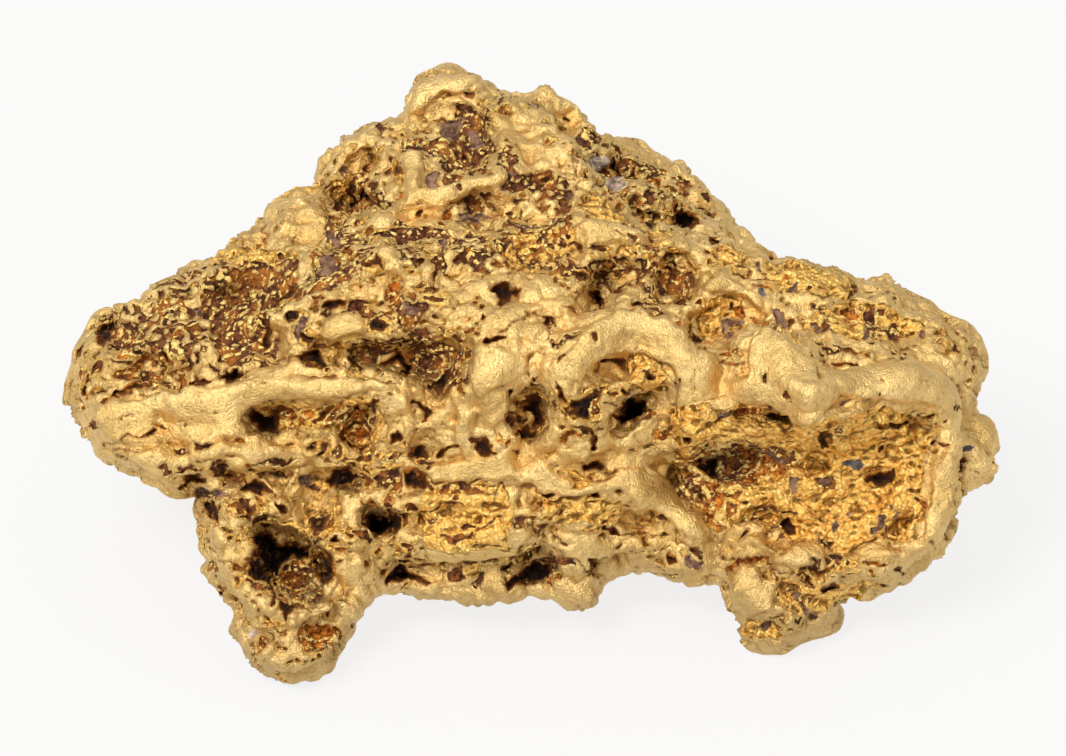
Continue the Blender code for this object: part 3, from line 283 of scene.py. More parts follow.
# BROWN: pockets of brown ironstone.
BROWN = [
    ((3.45, 9.0), (3.8, 8.98), (3.85, 9.08), (3.65, 9.12), (3.5, 9.05)),
    ((3.05, 9.25), (3.2, 9.25), (3.45, 9.33), (3.7, 9.33), (4.0, 9.37), (3.8, 9.42), (3.5, 9.42),
     (3.4, 9.48), (3.2, 9.32)),
    ((3.95, 8.87), (4.2, 8.88), (4.35, 8.95), (4.1, 9.05), (3.98, 9.05)),
    ((4.25, 9.25), (4.5, 9.2), (4.55, 9.4), (4.75, 9.5), (4.85, 9.55), (4.8, 9.65), (4.5, 9.62),
     (4.3, 9.55), (4.25, 9.4)),
    ((5.05, 9.2), (5.35, 9.1), (5.5, 9.05), (5.65, 9.1), (5.85, 9.08), (5.92, 9.18), (5.6, 9.2), (5.3, 9.2),
     (5.1, 9.22)),
    ((5.35, 9.27), (5.55, 9.28), (5.7, 9.5), (5.75, 9.6), (5.55, 9.58), (5.45, 9.5), (5.6, 9.42),
     (5.5, 9.35)),
    ((4.5, 9.95), (4.7, 10.0), (4.85, 9.95), (5.0, 10.05), (5.1, 10.2), (5.05, 10.45), (5.0, 10.4),
     (4.95, 10.25), (4.8, 10.3), (4.75, 10.2), (4.9, 10.15), (4.7, 10.1), (4.55, 10.05)),
    ((4.9, 11.4), (5.1, 11.6), (5.3, 11.75), (5.1, 11.75), (4.95, 11.6)),
    ((4.15, 11.25), (4.35, 11.2), (4.4, 11.35), (4.25, 11.4)),
    ((7.4, 9.6), (7.6, 9.5), (7.75, 9.4), (7.95, 9.45), (8.0, 9.6), (7.95, 9.72), (7.65, 9.78), (7.5, 9.7)),
    ((7.0, 10.6), (7.3, 10.65), (7.5, 10.75), (7.4, 10.9), (7.15, 10.85), (7.05, 10.7)),
    ((8.45, 10.3), (8.6, 10.15), (8.8, 10.05), (8.7, 10.2), (8.5, 10.32)),
    ((9.0, 9.95), (9.15, 9.9), (9.2, 10.0), (9.05, 10.05)),
    ((8.5, 10.4), (8.7, 10.38), (8.75, 10.5), (8.6, 10.52)),
    ((8.85, 10.7), (9.1, 10.65), (9.3, 10.75), (9.45, 10.65), (9.5, 10.75), (9.3, 10.85), (9.0, 10.8)),
    ((10.25, 10.45), (10.35, 10.3), (10.55, 10.35), (10.5, 10.5), (10.3, 10.55)),
    ((8.95, 11.5), (9.2, 11.4), (9.35, 11.5), (9.2, 11.65), (9.0, 11.6)),
    ((9.4, 11.75), (9.6, 11.45), (9.7, 11.4), (9.65, 11.6), (9.5, 11.75)),
    ((10.3, 11.1), (10.6, 10.9), (10.8, 10.85), (10.7, 11.0), (10.5, 11.2), (10.35, 11.25)),
    ((12.25, 10.92), (12.4, 10.88), (12.45, 10.85), (12.4, 10.95), (12.3, 10.97)),
    ((10.8, 11.2), (11.1, 11.05), (11.45, 11.15), (11.5, 11.3), (11.3, 11.25), (11.15, 11.35),
     (11.0, 11.4)),
    ((11.7, 11.1), (11.85, 11.05), (11.95, 11.2), (11.95, 11.3), (11.85, 11.3), (11.75, 11.2)),
    ((13.02, 8.98), (13.15, 8.97), (13.3, 9.02), (13.1, 9.05)),
    ((14.35, 9.05), (14.45, 8.9), (14.65, 8.8), (14.75, 8.85), (14.85, 9.0), (14.85, 9.2), (14.95, 9.35),
     (14.8, 9.5), (14.7, 9.62), (14.5, 9.65), (14.35, 9.67), (14.3, 9.4)),
    ((14.85, 8.85), (15.0, 8.78), (15.1, 8.8), (15.3, 8.9), (15.5, 8.95), (15.7, 9.05), (15.9, 9.15),
     (15.9, 9.25), (15.6, 9.25), (15.3, 9.15), (15.1, 9.0), (14.95, 8.95)),
    ((13.5, 9.7), (13.7, 9.5), (13.85, 9.45), (14.0, 9.55), (14.2, 9.75), (14.3, 9.9), (14.25, 10.1),
     (14.0, 10.1), (13.8, 9.95), (13.6, 9.9)),
    ((14.5, 10.1), (14.7, 10.05), (14.8, 10.15), (14.6, 10.3), (14.5, 10.25)),
    ((15.1, 10.05), (15.3, 10.1), (15.6, 10.15), (15.9, 10.15), (15.9, 10.25), (15.6, 10.25), (15.3, 10.2),
     (15.1, 10.15)),
    ((13.72, 11.0), (13.8, 10.97), (13.95, 11.0), (14.1, 11.05), (14.13, 11.2), (14.0, 11.28),
     (13.9, 11.15)),
    ((14.4, 11.75), (14.45, 11.65), (14.6, 11.65), (14.55, 11.8), (14.45, 11.85)),
    ((16.68, 8.6), (16.85, 8.62), (17.0, 8.68), (16.98, 8.75), (16.85, 8.72), (16.75, 8.68)),
    ((15.6, 9.05), (15.8, 9.1), (15.9, 9.2), (15.75, 9.25), (15.6, 9.25)),
    ((16.3, 9.55), (16.45, 9.5), (16.6, 9.48), (16.8, 9.52), (16.8, 9.65), (16.75, 9.75), (16.65, 9.85),
     (16.5, 9.82), (16.4, 9.7), (16.32, 9.62)),
    ((16.28, 10.7), (16.4, 10.75), (16.55, 10.75), (16.65, 10.85), (16.6, 11.0), (16.5, 10.9),
     (16.35, 10.82)),
    ((16.55, 11.03), (16.7, 11.05), (16.85, 11.12), (16.85, 11.2), (16.65, 11.15)),
    ((17.85, 11.42), (18.05, 11.4), (18.0, 11.5), (17.9, 11.48)),
    ((17.15, 11.8), (17.3, 11.72), (17.25, 11.85), (17.17, 11.87)),
    ((2.2, 7.15), (2.4, 7.2), (2.6, 7.2), (2.7, 7.3), (2.6, 7.35), (2.4, 7.3), (2.25, 7.2)),
    ((2.85, 6.3), (2.95, 6.25), (3.0, 6.4), (2.9, 6.45)),
    ((3.1, 6.45), (3.3, 6.4), (3.4, 6.42), (3.5, 6.35), (3.6, 6.28), (3.65, 6.35), (3.55, 6.42),
     (3.4, 6.48), (3.2, 6.48)),
    ((3.38, 6.7), (3.45, 6.55), (3.6, 6.55), (3.75, 6.6), (3.75, 6.72), (3.65, 6.88), (3.55, 6.9),
     (3.45, 6.8)),
    ((4.15, 5.5), (4.2, 5.4), (4.35, 5.38), (4.55, 5.45), (4.7, 5.3), (5.0, 5.35), (5.3, 5.4), (5.5, 5.3),
     (5.8, 5.2), (6.0, 5.3), (6.0, 5.6), (5.9, 5.9), (5.7, 6.1), (5.4, 6.1), (5.2, 6.0), (5.3, 5.85),
     (5.0, 5.7), (4.7, 5.65), (4.5, 5.7), (4.2, 5.6)),
    ((4.0, 5.75), (4.3, 5.8), (4.6, 5.85), (5.0, 5.9), (5.2, 6.0), (5.2, 6.2), (5.35, 6.4), (5.35, 6.8),
     (5.4, 7.0), (5.2, 7.0), (4.9, 7.1), (4.6, 7.3), (4.4, 7.2), (4.35, 7.0), (4.2, 6.7), (4.3, 6.5),
     (4.1, 6.3), (4.0, 6.0)),
    ((4.2, 7.25), (4.35, 7.3), (4.4, 7.5), (4.5, 7.6), (4.4, 7.65), (4.3, 7.5)),
    ((3.05, 7.0), (3.2, 7.03), (3.4, 7.1), (3.45, 7.3), (3.35, 7.38), (3.25, 7.35), (3.2, 7.2), (3.1, 7.1)),
    ((2.75, 7.65), (2.85, 7.5), (3.0, 7.42), (3.2, 7.45), (3.3, 7.55), (3.15, 7.6), (3.05, 7.7),
     (2.9, 7.75), (2.8, 7.78)),
    ((6.45, 4.3), (6.6, 4.35), (6.75, 4.4), (6.7, 4.5), (6.9, 4.55), (6.95, 4.7), (6.85, 4.9), (6.75, 5.0),
     (6.6, 4.95), (6.5, 4.8), (6.45, 4.65), (6.5, 4.55), (6.45, 4.4)),
    ((6.3, 5.2), (6.5, 5.1), (6.7, 5.1), (6.8, 5.2), (6.8, 5.3), (7.1, 5.3), (7.35, 5.35), (7.25, 5.5),
     (7.0, 5.55), (6.7, 5.7), (6.6, 5.75), (6.3, 5.8), (6.2, 5.9), (6.1, 5.88), (6.25, 5.7), (6.35, 5.5)),
    ((5.8, 5.3), (5.95, 5.3), (6.02, 5.6), (5.98, 5.95), (5.8, 6.0)),
    ((7.6, 4.9), (7.75, 4.65), (8.0, 4.58), (8.3, 4.55), (8.6, 4.6), (8.9, 4.6), (9.1, 4.65), (9.2, 4.75),
     (9.0, 4.85), (8.8, 4.75), (8.5, 4.75), (8.3, 4.85), (8.0, 4.95), (7.75, 4.97)),
    ((8.75, 4.8), (8.95, 4.75), (9.0, 4.9), (8.9, 5.1), (8.95, 5.3), (8.85, 5.5), (8.65, 5.45), (8.6, 5.2),
     (8.75, 5.0)),
    ((9.1, 5.15), (9.3, 5.0), (9.6, 5.0), (9.8, 5.05), (9.75, 5.2), (9.6, 5.35), (9.4, 5.35), (9.25, 5.25)),
    ((9.85, 4.75), (10.0, 4.75), (10.3, 4.8), (10.2, 4.9), (9.95, 5.0), (9.85, 4.95)),
    ((7.0, 6.0), (7.1, 5.95), (7.3, 6.0), (7.35, 6.15), (7.5, 6.25), (7.5, 6.45), (7.45, 6.5), (7.3, 6.4),
     (7.1, 6.3), (7.0, 6.15)),
    ((8.0, 6.05), (8.3, 6.0), (8.55, 6.0), (8.6, 6.15), (8.45, 6.3), (8.35, 6.45), (8.25, 6.6),
     (8.15, 6.65), (8.05, 6.5), (8.05, 6.3), (7.95, 6.15)),
    ((7.0, 6.95), (7.1, 6.8), (7.3, 6.85), (7.55, 6.8), (7.8, 6.85), (8.0, 6.75), (8.15, 6.9), (8.1, 7.05),
     (7.8, 7.05), (7.6, 7.1), (7.4, 7.15), (7.2, 7.1), (7.05, 7.2), (7.0, 7.1)),
    ((6.35, 7.0), (6.55, 7.2), (6.65, 7.33), (6.4, 7.35), (6.3, 7.2)),
    ((10.1, 8.3), (10.3, 8.25), (10.5, 8.4), (10.45, 8.55), (10.2, 8.5)),
    ((13.05, 5.25), (13.15, 5.3), (13.25, 5.3), (13.4, 5.4), (13.55, 5.5), (13.7, 5.42), (13.85, 5.4),
     (13.88, 5.6), (13.8, 5.75), (13.75, 5.95), (13.6, 6.0), (13.4, 5.95), (13.2, 5.9), (13.2, 5.7),
     (13.2, 5.5), (13.05, 5.5), (13.0, 5.4)),
    ((11.3, 5.2), (11.5, 5.25), (11.9, 5.4), (12.1, 5.45), (12.3, 5.45), (12.25, 5.6), (12.1, 5.75),
     (11.9, 5.72), (11.7, 5.7), (11.5, 5.62), (11.35, 5.4)),
    ((15.15, 5.55), (15.3, 5.52), (15.35, 5.57), (15.2, 5.62)),
    ((11.8, 7.75), (11.95, 7.7), (12.1, 7.65), (12.2, 7.6), (12.15, 7.7), (12.05, 7.85), (11.95, 7.9),
     (11.85, 7.85)),
    ((12.4, 7.5), (12.55, 7.55), (12.5, 7.65), (12.42, 7.6)),
    ((11.2, 7.1), (11.35, 7.05), (11.35, 7.15), (11.2, 7.22)),
    ((10.8, 6.35), (11.0, 6.33), (11.15, 6.4), (11.15, 6.5), (10.95, 6.57), (10.82, 6.5)),
    ((11.0, 6.85), (11.2, 6.8), (11.4, 6.7), (11.65, 6.6), (11.6, 6.7), (11.4, 6.85), (11.2, 6.95),
     (11.05, 6.95)),
    ((15.25, 7.5), (15.3, 7.42), (15.4, 7.45), (15.38, 7.57), (15.27, 7.58)),
    ((12.5, 4.8), (12.6, 4.75), (12.7, 4.75), (12.65, 4.85)),
    ((9.18, 2.02), (9.35, 2.05), (9.5, 2.15), (9.65, 2.25), (9.8, 2.35), (9.75, 2.45), (9.72, 2.6),
     (9.75, 2.8), (9.85, 2.9), (9.6, 3.0), (9.65, 3.2), (9.65, 3.4), (9.5, 3.35), (9.3, 3.3), (9.15, 3.4),
     (9.3, 3.55), (9.2, 3.62), (9.0, 3.65), (8.9, 3.6), (8.88, 3.4), (8.85, 3.2), (8.9, 3.1), (8.8, 3.05),
     (8.6, 3.0), (8.5, 2.9), (8.6, 2.85), (8.8, 2.78), (8.8, 2.5), (9.0, 2.4), (9.15, 2.3)),
    ((8.0, 2.75), (8.1, 2.7), (8.35, 2.75), (8.4, 2.85), (8.5, 2.9), (8.4, 2.98), (8.2, 2.95), (8.05, 2.95),
     (8.0, 2.85)),
    ((10.05, 2.95), (10.25, 2.9), (10.3, 3.0), (10.25, 3.05), (10.35, 3.2), (10.4, 3.3), (10.3, 3.35),
     (10.35, 3.45), (10.6, 3.45), (10.8, 3.45), (11.0, 3.4), (11.1, 3.5), (11.1, 3.7), (11.25, 3.8),
     (11.4, 3.85), (11.45, 4.0), (11.3, 4.05), (11.15, 3.95), (11.0, 3.85), (10.8, 3.85), (10.6, 3.75),
     (10.4, 3.85), (10.2, 3.85), (10.05, 3.8), (10.1, 3.65), (10.1, 3.5), (9.9, 3.3), (9.95, 3.1),
     (9.98, 3.0)),
    ((9.65, 3.8), (9.8, 3.82), (9.85, 3.9), (9.78, 4.0), (9.87, 4.15), (9.8, 4.2), (9.7, 4.05),
     (9.6, 3.95)),
    ((9.25, 4.0), (9.4, 3.95), (9.6, 4.0), (9.7, 4.15), (9.65, 4.3), (9.45, 4.25), (9.3, 4.3), (9.2, 4.2)),
    ((7.15, 3.75), (7.2, 3.7), (7.3, 3.75), (7.5, 3.7), (7.6, 3.62), (7.65, 3.7), (7.55, 3.8), (7.6, 3.9),
     (7.7, 4.05), (7.6, 4.15), (7.5, 4.2), (7.35, 4.3), (7.3, 4.4), (7.1, 4.4), (6.9, 4.38), (6.75, 4.35),
     (6.7, 4.2), (6.6, 4.1), (6.55, 4.0), (6.7, 4.0), (6.85, 4.1), (7.0, 4.05), (7.15, 3.95), (7.12, 3.85)),
    ((6.5, 3.7), (6.6, 3.6), (6.7, 3.6), (6.6, 3.75), (6.5, 3.85)),
    ((7.5, 2.6), (7.6, 2.48), (7.8, 2.45), (7.85, 2.5), (7.7, 2.58), (7.6, 2.65)),
    ((7.6, 2.75), (7.8, 2.7), (7.9, 2.75), (7.85, 2.85)),
    ((9.2, 1.8), (9.3, 1.82), (9.45, 1.85), (9.35, 1.95), (9.25, 1.92)),
    ((10.0, 1.85), (10.2, 1.95), (10.3, 2.0), (10.1, 2.05), (9.95, 2.1)),
    ((9.7, 2.1), (9.8, 2.2), (9.75, 2.3), (9.7, 2.2)),
    ((11.5, 2.8), (11.6, 2.7), (11.75, 2.75), (11.85, 2.85), (11.8, 3.0), (11.65, 3.02), (11.55, 2.95)),
    ((12.55, 3.15), (12.65, 3.2), (12.8, 3.3), (12.9, 3.3), (12.9, 3.4), (12.75, 3.4), (12.6, 3.35)),
    ((13.1, 3.75), (13.3, 3.75), (13.35, 3.85), (13.15, 3.85)),
    ((12.5, 4.02), (12.7, 4.0), (12.9, 4.1), (12.7, 4.2), (12.55, 4.15)),
    ((17.25, 6.25), (17.4, 6.2), (17.55, 6.15), (17.7, 6.2), (17.65, 6.3), (17.55, 6.35), (17.5, 6.45),
     (17.6, 6.55), (17.5, 6.65), (17.4, 6.6), (17.3, 6.55), (17.25, 6.4)),
    ((17.8, 6.5), (17.9, 6.4), (18.0, 6.45), (18.02, 6.6), (18.1, 6.65), (17.95, 6.78), (17.8, 6.8),
     (17.7, 6.7), (17.75, 6.6)),
    ((16.15, 6.4), (16.35, 6.4), (16.4, 6.5), (16.5, 6.4), (16.55, 6.5), (16.65, 6.55), (16.5, 6.62),
     (16.3, 6.6), (16.2, 6.52)),
    ((16.45, 7.0), (16.6, 6.97), (16.8, 6.98), (16.9, 6.98), (16.9, 7.04), (16.7, 7.1), (16.55, 7.08)),
    ((16.17, 5.77), (16.25, 5.7), (16.27, 5.82), (16.2, 5.9)),
    ((19.0, 8.0), (19.05, 8.05), (19.1, 8.15), (19.05, 8.18)),
    ((18.15, 12.0), (18.2, 12.0), (18.2, 12.05)),
]
# PURPLE: grey-violet ironstone.
PURPLE = [
    ((3.95, 9.75), (4.1, 9.7), (4.35, 9.8), (4.55, 9.85), (4.5, 9.95), (4.3, 9.98), (4.05, 9.95),
     (4.0, 9.85)),
    ((6.0, 9.55), (6.25, 9.5), (6.3, 9.7), (6.15, 9.75), (6.0, 9.65)),
    ((12.1, 10.52), (12.2, 10.52), (12.25, 10.6), (12.15, 10.6)),
    ((15.25, 9.05), (15.45, 9.05), (15.75, 9.15), (15.75, 9.24), (15.5, 9.22), (15.3, 9.15)),
    ((15.4, 10.5), (15.55, 10.48), (15.6, 10.6), (15.5, 10.63)),
    ((15.8, 9.55), (15.95, 9.6), (15.9, 9.85), (15.8, 9.9)),
    ((13.7, 11.1), (13.8, 11.1), (13.9, 11.25), (14.0, 11.3), (14.1, 11.38), (14.0, 11.45), (13.9, 11.38),
     (13.75, 11.3)),
    ((16.36, 8.68), (16.45, 8.7), (16.5, 8.85), (16.42, 8.86)),
    ((17.55, 8.7), (17.7, 8.68), (17.8, 8.8), (17.65, 8.82)),
    ((17.2, 8.6), (17.28, 8.58), (17.3, 8.66), (17.22, 8.67)),
    ((17.75, 8.5), (17.85, 8.52), (17.95, 8.6), (17.85, 8.62)),
    ((16.4, 9.55), (16.6, 9.5), (16.7, 9.6), (16.6, 9.72), (16.45, 9.68)),
    ((15.78, 9.55), (15.95, 9.55), (16.0, 9.65), (15.95, 9.75), (15.8, 9.75)),
    ((16.33, 10.3), (16.45, 10.35), (16.42, 10.55), (16.36, 10.45)),
    ((16.6, 10.45), (16.75, 10.4), (16.78, 10.55), (16.68, 10.66), (16.6, 10.6)),
    ((16.95, 10.2), (17.05, 10.25), (17.02, 10.4), (16.93, 10.32)),
    ((17.5, 10.3), (17.6, 10.28), (17.75, 10.35), (17.7, 10.5), (17.62, 10.62), (17.5, 10.72),
     (17.38, 10.66), (17.42, 10.55), (17.55, 10.5)),
    ((17.7, 10.5), (17.8, 10.55), (17.8, 10.7), (17.7, 10.75), (17.67, 10.62)),
    ((17.75, 10.15), (17.85, 10.15), (17.87, 10.25), (17.75, 10.22)),
    ((17.95, 10.25), (18.0, 10.3), (17.97, 10.45), (17.87, 10.42)),
    ((15.85, 11.9), (15.95, 11.82), (16.05, 11.9), (15.95, 12.0)),
    ((16.0, 12.05), (16.15, 12.1), (16.2, 12.2), (16.1, 12.27), (16.02, 12.15)),
    ((16.15, 12.35), (16.3, 12.3), (16.35, 12.4), (16.2, 12.42)),
    ((15.2, 12.45), (15.4, 12.45), (15.42, 12.58), (15.25, 12.6)),
    ((3.85, 6.15), (3.95, 6.1), (4.1, 6.15), (4.1, 6.25), (4.0, 6.3), (3.9, 6.22)),
    ((5.8, 6.65), (5.95, 6.3), (6.05, 6.25), (6.1, 6.5), (6.0, 6.72), (5.88, 6.78)),
    ((6.5, 4.6), (6.7, 4.6), (6.75, 4.8), (6.7, 4.95), (6.55, 4.85)),
    ((6.4, 5.2), (6.6, 5.15), (6.75, 5.3), (6.6, 5.5), (6.4, 5.55)),
    ((8.75, 4.8), (8.9, 4.8), (8.95, 4.9), (8.85, 5.05), (8.78, 5.0)),
    ((8.1, 6.1), (8.3, 6.08), (8.4, 6.2), (8.25, 6.35), (8.12, 6.25)),
    ((8.8, 2.5), (9.0, 2.4), (9.15, 2.35), (9.3, 2.38), (9.2, 2.6), (9.2, 2.75), (9.05, 2.82),
     (8.85, 2.75)),
    ((9.35, 2.68), (9.55, 2.6), (9.7, 2.75), (9.65, 2.95), (9.4, 2.95), (9.35, 2.8)),
    ((8.48, 3.6), (8.55, 3.5), (8.65, 3.45), (8.7, 3.35), (8.77, 3.4), (8.72, 3.5), (8.8, 3.58),
     (8.78, 3.68), (8.65, 3.68), (8.55, 3.82), (8.48, 3.75)),
    ((9.1, 4.25), (9.25, 4.25), (9.4, 4.32), (9.6, 4.3), (9.75, 4.3), (9.95, 4.25), (10.05, 4.3),
     (9.9, 4.35), (9.7, 4.4), (9.6, 4.5), (9.4, 4.5), (9.2, 4.45)),
    ((10.25, 4.5), (10.4, 4.45), (10.6, 4.48), (10.65, 4.55), (10.5, 4.6), (10.3, 4.58)),
    ((6.77, 3.4), (6.85, 3.3), (6.95, 3.35), (7.02, 3.45), (7.0, 3.55), (6.85, 3.5)),
    ((10.2, 3.35), (10.3, 3.45), (10.25, 3.55), (10.12, 3.45)),
    ((10.55, 2.05), (10.7, 2.0), (10.85, 2.15), (10.75, 2.2), (10.6, 2.12)),
    ((11.55, 2.78), (11.65, 2.75), (11.7, 2.9), (11.6, 2.92)),
    ((11.3, 3.85), (11.4, 3.9), (11.4, 4.0), (11.28, 3.98)),
    ((14.4, 6.45), (14.6, 6.42), (14.8, 6.38), (14.85, 6.45), (14.8, 6.55), (14.7, 6.65), (14.6, 6.75),
     (14.48, 6.78), (14.45, 6.6)),
    ((15.42, 6.1), (15.55, 6.15), (15.7, 6.25), (15.72, 6.5), (15.6, 6.58), (15.5, 6.45), (15.45, 6.3)),
    ((15.7, 5.75), (15.85, 5.65), (15.9, 5.55), (15.95, 5.65), (15.9, 5.8), (15.78, 5.82)),
    ((15.03, 5.32), (15.1, 5.2), (15.2, 5.25), (15.17, 5.37), (15.08, 5.38)),
    ((13.42, 7.75), (13.5, 7.7), (13.6, 7.75), (13.57, 7.85), (13.47, 7.83)),
    ((14.35, 8.22), (14.5, 8.17), (14.65, 8.2), (14.6, 8.32), (14.45, 8.38), (14.3, 8.32)),
    ((13.35, 8.1), (13.45, 8.05), (13.5, 8.2), (13.4, 8.22)),
    ((17.3, 6.6), (17.4, 6.62), (17.37, 6.78), (17.27, 6.76)),
    ((18.3, 6.65), (18.4, 6.6), (18.48, 6.65), (18.42, 6.75), (18.33, 6.77)),
    ((16.2, 6.5), (16.35, 6.5), (16.5, 6.58), (16.35, 6.6)),
    ((16.76, 8.06), (16.9, 7.99), (17.02, 8.02), (16.92, 8.09), (16.8, 8.12)),
    ((17.6, 7.67), (17.67, 7.62), (17.7, 7.66), (17.64, 7.72)),
    ((17.57, 7.9), (17.62, 7.85), (17.63, 7.94), (17.59, 7.97)),
    ((11.2, 7.95), (11.3, 8.0), (11.28, 8.05), (11.2, 8.02)),
]
# RUST: stained crumbs.
RUST = [
    ((13.6, 9.3), (13.9, 8.95), (14.6, 8.75), (15.4, 8.95), (15.9, 9.15), (15.8, 9.35), (15.2, 9.5),
     (14.9, 9.75), (14.4, 9.75), (14.45, 10.2), (14.6, 10.45), (14.3, 10.55), (14.0, 10.2), (13.7, 9.85)),
    ((5.0, 8.28), (5.6, 8.17), (6.3, 8.27), (7.0, 8.1), (7.5, 8.15), (7.5, 8.6), (7.2, 8.9), (6.95, 8.85),
     (6.9, 8.55), (6.3, 8.42), (5.6, 8.48), (5.1, 8.5)),
    ((5.94, 12.5), (6.2, 12.44), (6.6, 12.5), (6.85, 12.6), (6.85, 12.85), (6.5, 13.0), (6.15, 13.05),
     (5.97, 12.8)),
    ((3.0, 8.55), (3.25, 8.52), (3.3, 8.6), (3.45, 8.65), (3.2, 8.62)),
    ((5.85, 11.2), (6.3, 11.25), (6.2, 11.6), (6.0, 12.0), (5.6, 12.1), (5.5, 11.9), (5.6, 11.5)),
    ((7.2, 10.0), (7.45, 9.95), (7.6, 10.15), (7.4, 10.15), (7.25, 10.08)),
    ((6.55, 10.22), (6.65, 10.22), (6.66, 10.3), (6.56, 10.3)),
    ((12.98, 8.65), (13.15, 8.57), (13.35, 8.6), (13.38, 8.75), (13.2, 8.8), (13.05, 8.78)),
    ((14.3, 9.85), (14.5, 9.78), (14.8, 9.85), (14.75, 9.98), (14.45, 10.0)),
    ((14.0, 10.2), (14.2, 10.18), (14.42, 10.3), (14.38, 10.55), (14.3, 10.68), (14.15, 10.5),
     (14.05, 10.35)),
    ((14.4, 11.08), (14.65, 11.1), (15.0, 11.12), (15.3, 11.1), (15.35, 11.2), (15.1, 11.25), (14.85, 11.3),
     (14.7, 11.35), (14.6, 11.45), (14.55, 11.3), (14.7, 11.2)),
    ((17.2, 11.25), (17.4, 11.18), (17.75, 11.18), (17.7, 11.28), (17.5, 11.3), (17.3, 11.28)),
    ((18.25, 9.85), (18.35, 9.85), (18.45, 9.95), (18.5, 10.1), (18.45, 10.15), (18.35, 10.05),
     (18.25, 9.95)),
    ((18.2, 10.25), (18.3, 10.25), (18.3, 10.45), (18.22, 10.4)),
    ((2.3, 6.95), (2.35, 6.75), (2.45, 6.6), (2.55, 6.6), (2.6, 6.8), (2.6, 7.0), (2.55, 7.15), (2.45, 7.2),
     (2.3, 7.1)),
    ((4.5, 6.95), (4.75, 6.9), (5.0, 6.82), (4.95, 6.98), (4.7, 7.05)),
    ((10.6, 5.2), (10.8, 5.15), (11.0, 5.2), (10.95, 5.4), (10.75, 5.35), (10.6, 5.35)),
    ((7.7, 5.95), (7.75, 5.75), (7.9, 5.65), (8.0, 5.7), (8.05, 5.9), (8.0, 6.05), (7.75, 6.1)),
    ((9.3, 6.55), (9.45, 6.5), (9.5, 6.6), (9.4, 6.65), (9.35, 6.75)),
    ((8.25, 6.95), (8.5, 6.9), (8.8, 7.0), (9.1, 7.0), (9.2, 7.2), (9.3, 7.45), (9.35, 7.7), (9.3, 7.9),
     (9.2, 7.85), (9.1, 7.5), (8.9, 7.4), (8.7, 7.45), (8.5, 7.5), (8.3, 7.4), (8.3, 7.2)),
    ((6.6, 8.15), (6.85, 8.0), (6.95, 8.05), (6.8, 8.2), (6.7, 8.35), (6.6, 8.3)),
    ((14.65, 6.15), (14.85, 6.1), (14.85, 6.35), (14.65, 6.38)),
    ((14.85, 6.32), (15.1, 6.33), (15.4, 6.33), (15.35, 6.44), (15.0, 6.42)),
    ((14.4, 7.2), (14.55, 7.25), (14.75, 7.25), (14.75, 7.33), (14.6, 7.33), (14.45, 7.3)),
    ((14.3, 7.05), (14.5, 7.0), (14.75, 7.0), (14.8, 7.1), (14.6, 7.15), (14.4, 7.1)),
    ((13.5, 7.55), (13.65, 7.57), (13.62, 7.7), (13.52, 7.66)),
    ((13.5, 6.4), (13.65, 6.35), (13.8, 6.4), (13.75, 6.5), (13.55, 6.5)),
    ((13.95, 8.27), (14.1, 8.25), (14.25, 8.25), (14.2, 8.36), (14.0, 8.35)),
    ((14.7, 8.2), (15.0, 8.15), (15.2, 8.2), (15.1, 8.32), (14.85, 8.3)),
    ((14.37, 4.85), (14.5, 4.95), (14.42, 5.02), (14.3, 4.99)),
    ((8.9, 3.1), (9.05, 3.05), (9.1, 3.2), (8.95, 3.25)),
    ((9.32, 4.06), (9.42, 4.05), (9.42, 4.15), (9.32, 4.15)),
    ((8.83, 4.2), (8.95, 4.15), (8.98, 4.3), (8.95, 4.4), (8.85, 4.35)),
    ((8.3, 4.57), (8.6, 4.6), (8.95, 4.6), (8.9, 4.68), (8.4, 4.66)),
    ((8.1, 2.8), (8.25, 2.8), (8.25, 2.9), (8.12, 2.9)),
    ((13.55, 3.6), (13.75, 3.6), (13.7, 3.75), (13.6, 3.85), (13.5, 3.8)),
    ((14.0, 4.35), (14.3, 4.2), (14.35, 4.25), (14.2, 4.4), (14.05, 4.45)),
    ((12.85, 3.5), (13.1, 3.45), (13.2, 3.6), (13.15, 3.75), (12.95, 3.75), (12.85, 3.65)),
    ((16.8, 6.2), (17.0, 6.15), (17.2, 6.2), (17.2, 6.35), (17.1, 6.45), (16.9, 6.45), (16.8, 6.35)),
    ((18.9, 6.55), (18.98, 6.6), (19.0, 6.7), (18.92, 6.7)),
    ((19.05, 6.6), (19.15, 6.63), (19.12, 6.68)),
    ((10.95, 4.6), (11.15, 4.6), (11.35, 4.7), (11.3, 4.95), (11.1, 4.95), (11.0, 4.8)),
    ((11.1, 10.2), (11.35, 10.18), (11.3, 10.3), (11.1, 10.3)),
]
